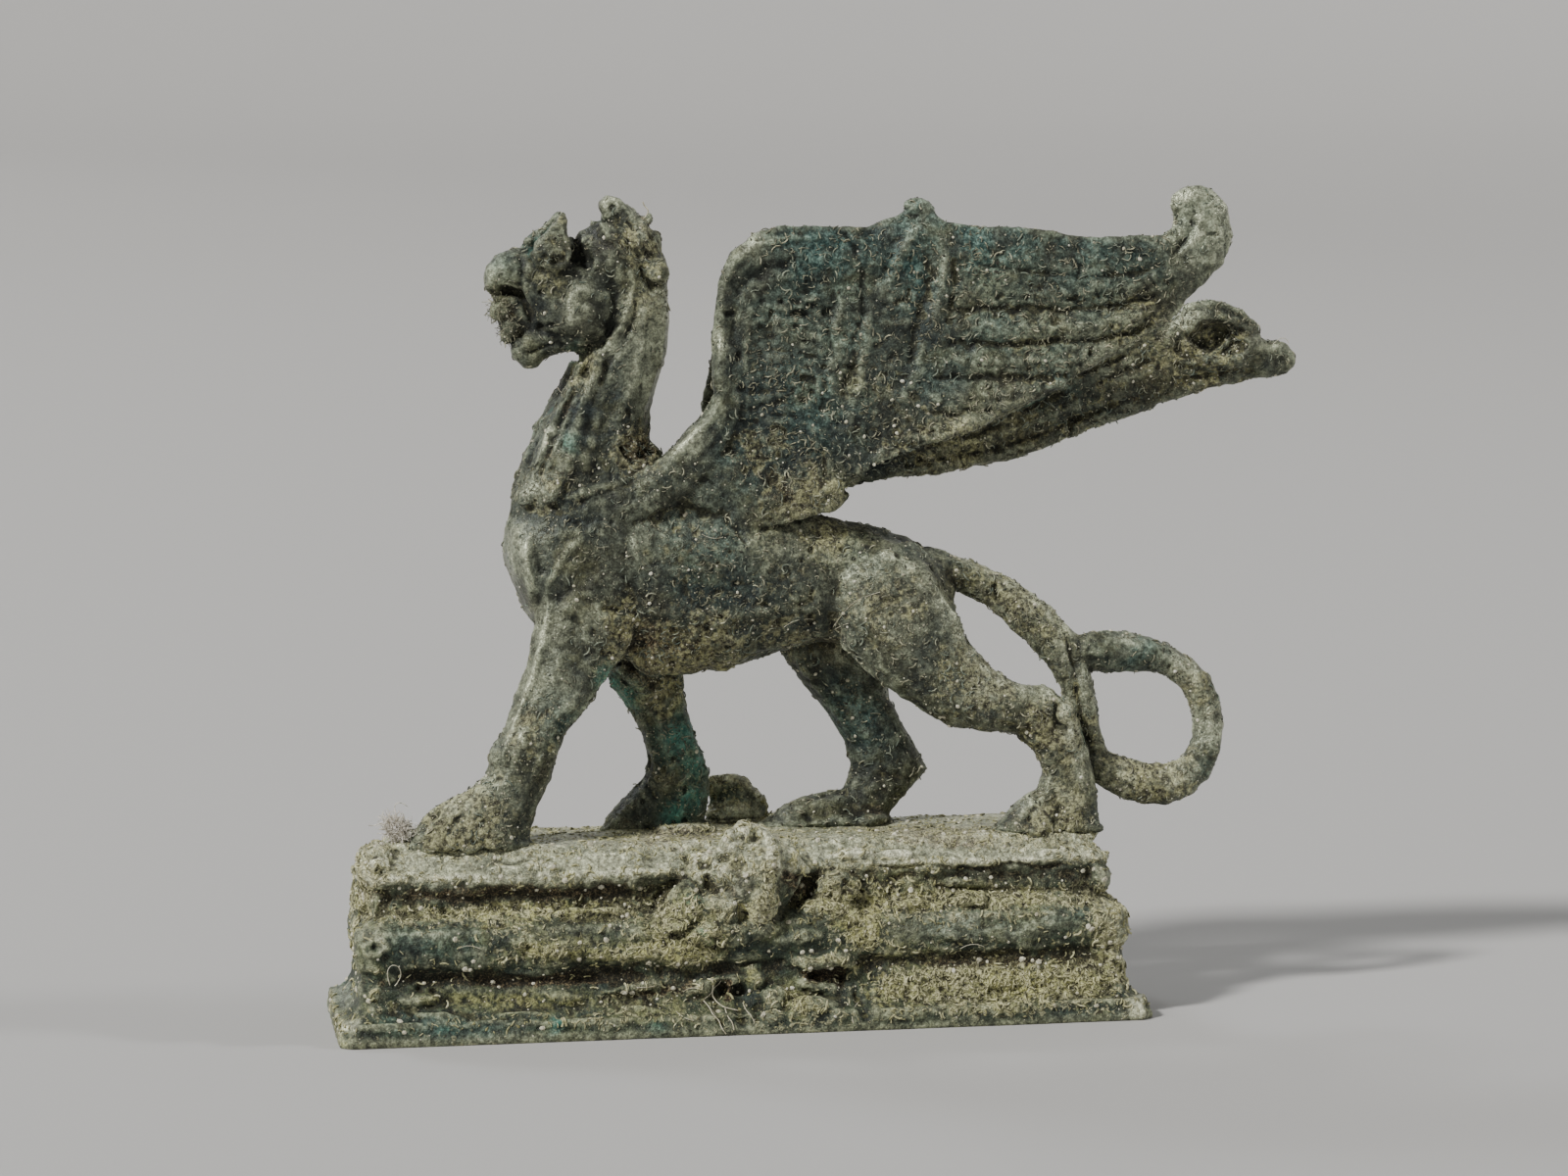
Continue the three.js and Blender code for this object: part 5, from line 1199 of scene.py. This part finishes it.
def patinaMaterial(name, tones, amounts):
    tones = {key: (*tone, 1) for key, tone in tones.items()}
    material, w, shader = newMaterial(name)
    place = w.node("ShaderNodeTexCoord")["Object"]
    broad, middle, patchy, fine, finest = [w.noise(place, *row) for row in patinaNoise.values()]
    hollow, ridge, crust, worn, teal, ochre, soil, verdigris = [
        w.node("ShaderNodeAttribute", attribute_name=layer)["Fac"] for layer in paintedLayers]
    dusty = {"Vector": place, "Hollow": hollow}
    # rubbed metal shows on ridges and worn edges, partly painted highlight on the ridges and lit contours
    mottle = w.times(w.between(middle, 0.34, 0.62, 0.35, 1.0), w.between(fine, 0.34, 0.62, 0.85, 1.05))
    bloomAndHighlightShare = w.times(w.plus(w.times(ridge, 0.6), w.times(worn, 0.7)), mottle, True)
    rubbedAndHighlit = w.times(w.most(ridge, amounts["rubbedAndHighlit"]), worn)
    rubbedAndHighlit = w.times(rubbedAndHighlit, w.between(middle, 0.34, 0.58, 0.5, 1.0), True)
    # crust and soil gather where they are painted, most in the hollows; the crust added on ridges is partly
    # painted highlight
    crustDust = w.node("ShaderNodeGroup", dusty | {"Amount": crust, "Patch Scale": 1000.0}, node_tree=dust)[0]
    crustShare = w.plus(w.times(crustDust, crust), w.times(ridge, amounts["raised"]))
    crustShare = w.between(crustShare, 0.08, 0.46, 0.0, amounts["crust"])
    crustTone = w.blend(w.between(broad, 0.44, 0.62), tones["mat"], tones["ochre"])
    crustTone = w.blend(w.between(fine, 0.36, 0.56), tones["soil"], crustTone)
    soilDust = w.node("ShaderNodeGroup", dusty | {"Amount": soil, "Patch Scale": 1700.0}, node_tree=dust)[0]
    soilShare = w.times(soilDust, w.plus(soil, amounts["loose"]), True)
    coats = [  # how much, tone
        (w.between(broad, 0.40, 0.62), tones["brown"]),
        (w.between(middle, 0.36, 0.64, 0.1, amounts["patina"]), tones["patina"]),
        (w.between(patchy, 0.50, 0.68, 0.0, 0.75), tones["olive"]),
        (w.between(patchy, 0.47, 0.33, 0.0, 0.85), tones["deep"]),
        (w.times(bloomAndHighlightShare, amounts["bloomAndHighlight"]), tones["bloomAndHighlight"]),
        (w.times(teal, w.between(middle, 0.36, 0.60, 0.1, 0.85)),
         w.blend(w.between(fine, 0.43, 0.62), tones["teal"], tones["paleTeal"])),
        (crustShare, crustTone),
        (w.times(ochre, w.between(fine, 0.38, 0.58, 0.1, 0.75)), tones["ochre"]),
        (soilShare, w.blend(w.between(finest, 0.48, 0.66), tones["soil"], tones["warmSoil"])),
        (w.times(verdigris, w.between(middle, 0.36, 0.55, 0.2, 0.9)), tones["verdigris"]),
        (rubbedAndHighlit, tones["worn"]),
    ]
    colour = tones["slate"]
    for share, tone in coats:
        colour = w.blend(share, colour, tone)
    coarse = w.between(fine, 0.32, 0.68, amounts["unrest"], 2.0 - amounts["unrest"])
    unrest = w.times(coarse, w.between(finest, 0.32, 0.68, 0.6, 1.4))
    colour = w.blend(1.0, colour, unrest, "MULTIPLY")
    # matted fibres, painted shade in the hollows and mineral flecks come last
    cover = w.between(crust, 0.1, 0.9, *amounts["cover"])
    values = {"Vector": place, "Fibres Per Metre": 1250.0, "Width": 0.055, "Cover": cover}
    matted = w.node("ShaderNodeGroup", values, node_tree=fibres)["Mask"]
    matted = w.times(matted, w.between(crust, 0.0, 0.8, 0.25, 1.0))
    colour = w.blend(w.times(matted, amounts["fibre"]), colour, tones["fibre"])
    # painted shade: the hollows drawn towards the deep tone
    colour = w.blend(w.between(hollow, 0.12, 0.85, 0.0, amounts["shade"]), colour, tones["deep"])
    cover = w.between(w.plus(crust, w.minus(middle, 0.5)), 0.0, 1.2, 0.02, amounts["flecks"])
    values = {"Vector": place, "Grains Per Metre": 5200.0, "Cover": cover, "Radius": 0.42}
    flecks = w.node("ShaderNodeGroup", values, node_tree=grains)
    colour = w.blend(flecks["Mask"], colour, w.blend(flecks["Tone"], tones["mat"], tones["fleck"]))
    w.feed(shader["Base Color"], colour)
    covered = w.most(crustShare, soilShare)
    gloss = w.plus(w.minus(covered, w.times(worn, 0.5)), w.times(w.minus(fine, 0.5), 0.8))
    w.feed(shader["Roughness"], w.between(gloss, -0.4, 0.7, 0.34, 0.92))
    w.feed(shader["Metallic"], w.between(covered, 0.0, 0.5, amounts["metal"], 0.0))
    shader["Specular IOR Level"].default_value = 0.3
    shader["Sheen Weight"].default_value = amounts["sheen"]
    shader["Sheen Roughness"].default_value = 0.45
    shader["Sheen Tint"].default_value = (0.80, 0.80, 0.68, 1)
    height = w.plus(w.plus(fine, w.times(finest, 0.5)), w.times(matted, 0.6))
    addBump(w, shader, 0.9, amounts["relief"] * mm, w.plus(height, w.times(flecks["Mask"], 0.4)))
    return material


def looseMaterial(name):  # grains, hairs and tufts: each takes its tone from where it lies
    *tones, roughness = looseLooks[name]
    dark, medium, light, regional = [(*tone, 1) for tone in tones]
    material, w, shader = newMaterial(name)
    place = w.node("ShaderNodeTexCoord")["Object"]
    own = w.noise(place, 2100, 1, 0.5, 5.0)
    region = w.noise(place, 260, 2, 0.5, 6.0)
    fine = w.noise(place, 7000, 2, 0.6, 7.0)
    colour = w.blend(w.between(own, 0.36, 0.56), dark, medium)
    colour = w.blend(w.between(own, 0.56, 0.74), colour, light)
    colour = w.blend(w.between(region, 0.45, 0.62, 0.0, 0.45), colour, regional)
    w.feed(shader["Base Color"], w.blend(1.0, colour, w.between(fine, 0.3, 0.7, 0.7, 1.3), "MULTIPLY"))
    shader["Roughness"].default_value = roughness
    addBump(w, shader, 0.6, 0.03 * mm, fine)
    return material


loose = {name: looseMaterial(name) for name in looseLooks}
print("finishes ready")


def scatterTree(name, shape, extra):  # strews a small shape over a piece, as thick as a painted layer says
    w, given, sent = newTree("GeometryNodeTree", name, {
        "Geometry": ("Geometry", None), "Layer": ("String", "grainy"), "Per Square Metre": ("Float", 1.0e6),
        "Smallest": ("Float", 0.0001), "Largest": ("Float", 0.0003), "Tilt": ("Float", 0.5),
        "Seed": ("Int", 1), "Material": ("Material", None)} | extra, {"Geometry": "Geometry"})
    layer = w.node("GeometryNodeInputNamedAttribute", {"Name": given["Layer"]}, data_type="FLOAT")[0]
    density = w.times(layer, given["Per Square Metre"])
    values = {"Mesh": given["Geometry"], "Density": density, "Seed": given["Seed"]}
    spots = w.node("GeometryNodeDistributePointsOnFaces", values)
    chance = w.node("FunctionNodeRandomValue", {"Seed": w.plus(given["Seed"], 1.0)}, data_type="FLOAT")[1]
    reach = w.minus(given["Largest"], given["Smallest"])
    size = w.plus(given["Smallest"], w.times(w.math("POWER", chance, 2.0), reach))
    instance, several = shape(w, given)
    values = {"Points": spots["Points"], "Rotation": spots["Rotation"], "Scale": size, "Instance": instance}
    if several:
        pick = {"Seed": w.plus(given["Seed"], 2.0), 4: 0, 5: several - 1}
        values["Pick Instance"] = True
        values["Instance Index"] = w.node("FunctionNodeRandomValue", pick, data_type="INT")[2]
    laid = w.node("GeometryNodeInstanceOnPoints", values)["Instances"]
    back = w.times(given["Tilt"], -1.0)
    least = w.node("ShaderNodeCombineXYZ", {0: back, 1: back, 2: 0.0})[0]
    most = w.node("ShaderNodeCombineXYZ", {0: given["Tilt"], 1: given["Tilt"], 2: 6.2832})[0]
    turn = {0: least, 1: most, "Seed": w.plus(given["Seed"], 3.0)}
    turn = w.node("FunctionNodeRandomValue", turn, data_type="FLOAT_VECTOR")[0]
    laid = w.node("GeometryNodeRotateInstances", {"Instances": laid, "Rotation": turn})["Instances"]
    solid = w.node("GeometryNodeRealizeInstances", {"Geometry": laid})["Geometry"]
    values = {"Geometry": solid, "Material": given["Material"]}
    w.feed(sent["Geometry"], w.node("GeometryNodeSetMaterial", values)["Geometry"])
    return w.tree


def stretched(w, ball, length, height):
    scale = w.node("ShaderNodeCombineXYZ", {0: length, 1: 1.0, 2: height})[0]
    return w.node("GeometryNodeTransform", {"Geometry": ball["Mesh"], "Scale": scale})["Geometry"], 0


def grainShape(w, given):  # an eight-sided grain, longer than wide
    ball = w.node("GeometryNodeMeshUVSphere", {"Segments": 4, "Rings": 2, "Radius": 0.5})
    return stretched(w, ball, given["Length"], 0.8)


def crystalShape(w, given):  # a rounder mineral lump
    ball = w.node("GeometryNodeMeshIcoSphere", {"Radius": 0.5, "Subdivisions": 1})
    return stretched(w, ball, given["Length"], 0.75)


hairBends = [  # start, middle and end of a hair one unit long
    ((-0.5, 0, -0.06), (-0.1, 0.32, 0.26), (0.5, 0, -0.02)),
    ((-0.5, 0, -0.06), (0.2, -0.42, 0.16), (0.5, 0.1, 0.16)),
    ((-0.5, 0, -0.04), (0.0, 0.10, 0.30), (0.5, -0.15, -0.06)),
]


def hairShape(w, given):  # bent hairs to pick from
    ring = {"Resolution": 3, "Radius": given["Thickness"]}
    ring = w.node("GeometryNodeCurvePrimitiveCircle", ring)["Curve"]
    join = w.tree.nodes.new("GeometryNodeGeometryToInstance")
    for start, middle, end in hairBends:
        bend = {"Resolution": 2, "Start": start, "Middle": middle, "End": end}
        hair = {"Curve": w.node("GeometryNodeCurveQuadraticBezier", bend)["Curve"], "Profile Curve": ring}
        w.feed(join.inputs[0], w.node("GeometryNodeCurveToMesh", hair | {"Fill Caps": True})["Mesh"])
    return join.outputs[0], len(hairBends)


def strewn(name, skin, tree, values):  # a plain mesh piece made by one of the trees over a finished skin
    holder = placed(name, skin.data.copy())
    modifier = holder.modifiers.new("strew", "NODES")
    modifier.node_group = tree
    for socket in tree.interface.items_tree:
        if socket.name in values:
            modifier[socket.identifier] = values[socket.name]
    return placed(name, plainMesh(holder))


grainTree = scatterTree("strewnGrains", grainShape, {"Length": ("Float", 1.8)})
crystalTree = scatterTree("strewnCrystals", crystalShape, {"Length": ("Float", 1.2)})
hairTree = scatterTree("strewnHairs", hairShape, {"Thickness": ("Float", 0.04)})

griffinPiece = buildGriffin()
griffinPiece.data.materials.append(patinaMaterial("griffinPatina", bronzeTones, bronzeAmounts))
plinthPiece = buildPlinth()
plinthPiece.data.materials.append(patinaMaterial("plinthPatina", crustTones, crustAmounts))

strewings = {  # each one's skin, tree and inputs
    "griffinGrains": (griffinPiece, grainTree, {
        "Layer": "grainy", "Per Square Metre": 7.0e6, "Smallest": 0.10 * mm, "Largest": 0.25 * mm,
        "Length": 1.8, "Tilt": 0.5, "Seed": 31, "Material": loose["oliveGrains"]}),
    "griffinCrystals": (griffinPiece, crystalTree, {
        "Layer": "white", "Per Square Metre": 0.9e6, "Smallest": 0.10 * mm, "Largest": 0.34 * mm,
        "Length": 1.2, "Tilt": 0.6, "Seed": 41, "Material": loose["paleMineral"]}),
    "griffinHairs": (griffinPiece, hairTree, {
        "Layer": "fibrous", "Per Square Metre": 2.5e6, "Smallest": 0.28 * mm, "Largest": 0.75 * mm,
        "Thickness": 0.09, "Tilt": 0.15, "Seed": 51, "Material": loose["oliveHairs"]}),
    "plinthGrains": (plinthPiece, grainTree, {
        "Layer": "grainy", "Per Square Metre": 6.0e6, "Smallest": 0.10 * mm, "Largest": 0.26 * mm,
        "Length": 2.4, "Tilt": 0.5, "Seed": 61, "Material": loose["beigeGrains"]}),
    "plinthCrystals": (plinthPiece, crystalTree, {
        "Layer": "white", "Per Square Metre": 1.1e6, "Smallest": 0.14 * mm, "Largest": 0.52 * mm,
        "Length": 1.2, "Tilt": 0.6, "Seed": 71, "Material": loose["paleMineral"]}),
    "plinthHairs": (plinthPiece, hairTree, {
        "Layer": "fibrous", "Per Square Metre": 6.6e6, "Smallest": 0.34 * mm, "Largest": 0.74 * mm,
        "Thickness": 0.135, "Tilt": 0.15, "Seed": 81, "Material": loose["beigeHairs"]}),
}
pieces = {"griffin": [griffinPiece], "plinth": [plinthPiece]}
for name, (skin, tree, values) in strewings.items():
    piece = strewn(name, skin, tree, values)
    pieces["griffin" if skin is griffinPiece else "plinth"].append(piece)
    print(name, len(piece.data.polygons), "faces")

# hairs and roots in the photo: pixels, thickness in mm, depth in mm or None where one lies on the skin
overGriffin = [
    ([(654, 226), (660, 220), (662, 214), (657, 210), (656, 206)], 0.10, -0.8),
    ([(657, 222), (651, 223), (648, 220)], 0.09, -0.8),
    ([(576, 403), (571, 400), (569, 395)], 0.05, -1.6),
    ([(850, 640), (862, 622), (878, 610), (898, 604)], 0.05, None),
    ([(838, 652), (852, 640), (866, 636)], 0.04, None),
    ([(1296, 354), (1304, 346), (1312, 344), (1315, 350)], 0.05, 4.0),
    ([(716, 545), (728, 552), (738, 548)], 0.04, None),
    ([(980, 560), (992, 566), (1002, 578)], 0.04, None),
    ([(1168, 640), (1180, 634), (1192, 640)], 0.04, None),
    ([(800, 640), (812, 630), (830, 632)], 0.04, None),
]
overPlinth = [
    ([(727, 999), (728, 1007), (726, 1014), (730, 1021), (737, 1027), (744, 1029),
      (753, 1031)], 0.11, None),
    ([(738, 996), (735, 1003), (728, 1008), (725, 1015), (719, 1019)], 0.08, None),
    ([(718, 1021), (724, 1027), (727, 1035), (734, 1041), (736, 1049), (741, 1055)], 0.10, None),
    ([(722, 1026), (730, 1033), (735, 1045)], 0.06, None),
    ([(740, 1029), (742, 1037), (748, 1043), (749, 1051)], 0.09, None),
    ([(758, 1023), (761, 1031), (767, 1036), (770, 1044)], 0.07, None),
    ([(697, 1012), (704, 1006), (713, 1009)], 0.06, None),
    ([(690, 1032), (698, 1040), (708, 1041)], 0.06, None),
    ([(398, 1005), (394, 993), (399, 984), (408, 986), (410, 998), (403, 1006)], 0.07, None),
    ([(876, 1022), (866, 1034), (871, 1044)], 0.06, None),
    ([(640, 1004), (652, 1010), (668, 1006)], 0.06, None),
    ([(980, 968), (992, 960), (1004, 966)], 0.05, None),
    ([(468, 968), (478, 962), (490, 968)], 0.05, None),
]


def skinUnder(skin, u, v):  # where the view through each photo pixel meets the finished skin, in mm
    points = readPoints(skin.data)
    tree = BVHTree.FromPolygons(points.tolist(), [tuple(face.vertices) for face in skin.data.polygons])
    return [tree.ray_cast(eye, (fromPhoto(a, b, 0.0) - eye).tolist())[0] for a, b in zip(u, v)]


def strandPiece(name, strands, material):  # thin round strands through their points, as one plain mesh
    curve = bpy.data.curves.new(name, "CURVE")
    curve.dimensions = "3D"
    curve.bevel_depth = 0.5 * mm
    curve.bevel_resolution = 0
    curve.resolution_u = 4
    curve.use_fill_caps = True
    for points, thickness in strands:
        line = curve.splines.new("NURBS")
        line.points.add(len(points) - 1)
        for knot, place in zip(line.points, points):
            knot.co = (*[v * mm for v in place], 1.0)
            knot.radius = thickness
        line.order_u = 3
        line.use_endpoint_u = True
    mesh = plainMesh(placed(name, curve))
    mesh.materials.clear()
    mesh.materials.append(material)
    return placed(name, mesh)


def laidStrands(skin, paths):
    flat = [(u, v) for path, thickness, depth in paths for u, v in path]
    found = skinUnder(skin, [u for u, v in flat], [v for u, v in flat])
    made = []
    for path, thickness, depth in paths:
        points = []
        for u, v in path:
            hit = found.pop(0)
            if depth is not None:
                points.append(fromPhoto(u, v, depth))
            elif hit is not None:
                points.append(np.array(hit) - ahead * (0.08 + thickness))
        made.append((points, thickness))
    return made


def tuft(u, v, y, reach, count, length, thickness, curl, seed):  # strands standing out all round a clump
    rng = np.random.default_rng(seed)
    centre = fromPhoto(u, v, y)
    made = []
    for _ in range(count):
        way = rng.normal(0, 1, 3)
        way /= np.linalg.norm(way)
        spot = centre + way * np.array(reach) * rng.uniform(0.55, 1.0)
        points = [spot]
        for _ in range(3):
            way = way + rng.normal(0, curl, 3)
            way /= np.linalg.norm(way)
            spot = spot + way * length * rng.uniform(0.5, 1.1) / 3
            points.append(spot)
        made.append((points, thickness * rng.uniform(0.7, 1.3)))
    return made


tufts = {  # pixels, depth in mm, reach, how many strands, their length and thickness, curl, seed
    "mouthTufts": [
        (510, 316, -0.4, (0.8, 0.8, 0.8), 120, 0.8, 0.05, 0.5, 91),
        (521, 331, -0.4, (0.8, 0.8, 0.7), 90, 0.7, 0.05, 0.5, 92),
        (516, 343, -0.2, (0.5, 0.5, 0.5), 40, 0.6, 0.05, 0.5, 93),
        (655, 462, -1.6, (0.9, 0.8, 0.7), 50, 0.6, 0.05, 0.5, 94),
    ],
    "pawFluff": [
        (406, 847, -3.4, (0.8, 0.7, 0.9), 300, 1.1, 0.055, 0.9, 95),
        (398, 838, -3.4, (0.5, 0.5, 0.4), 60, 0.9, 0.045, 0.9, 96),
        (418, 852, -3.8, (0.8, 0.6, 0.6), 70, 1.1, 0.045, 0.9, 97),
    ],
}
fluffEnds = [  # single strands that stand out of the fluff
    [(404, 831), (401, 823), (408, 817), (416, 823)], [(393, 838), (386, 841), (380, 843), (376, 842)],
    [(396, 846), (390, 848), (387, 845)],
]
clumps = {name: [strand for row in rows for strand in tuft(*row)] for name, rows in tufts.items()}
clumps["pawFluff"] += [([fromPhoto(u, v, -3.6) for u, v in path], 0.07) for path in fluffEnds]
for name, owner, strands, material in (
    ("griffinLooseHairs", "griffin", laidStrands(griffinPiece, overGriffin), "rootFibres"),
    ("mouthTufts", "griffin", clumps["mouthTufts"], "oliveHairs"),
    ("pawFluff", "griffin", clumps["pawFluff"], "fluffFibres"),
    ("plinthRoots", "plinth", laidStrands(plinthPiece, overPlinth), "rootFibres"),
):
    piece = strandPiece(name, strands, loose[material])
    pieces[owner].append(piece)
    print(name, len(piece.data.polygons), "faces")

for node, slot in (("griffin", "bronze"), ("plinth", "crusted_bronze")):
    for piece in pieces[node]:
        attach(piece, "root")
    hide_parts(node)
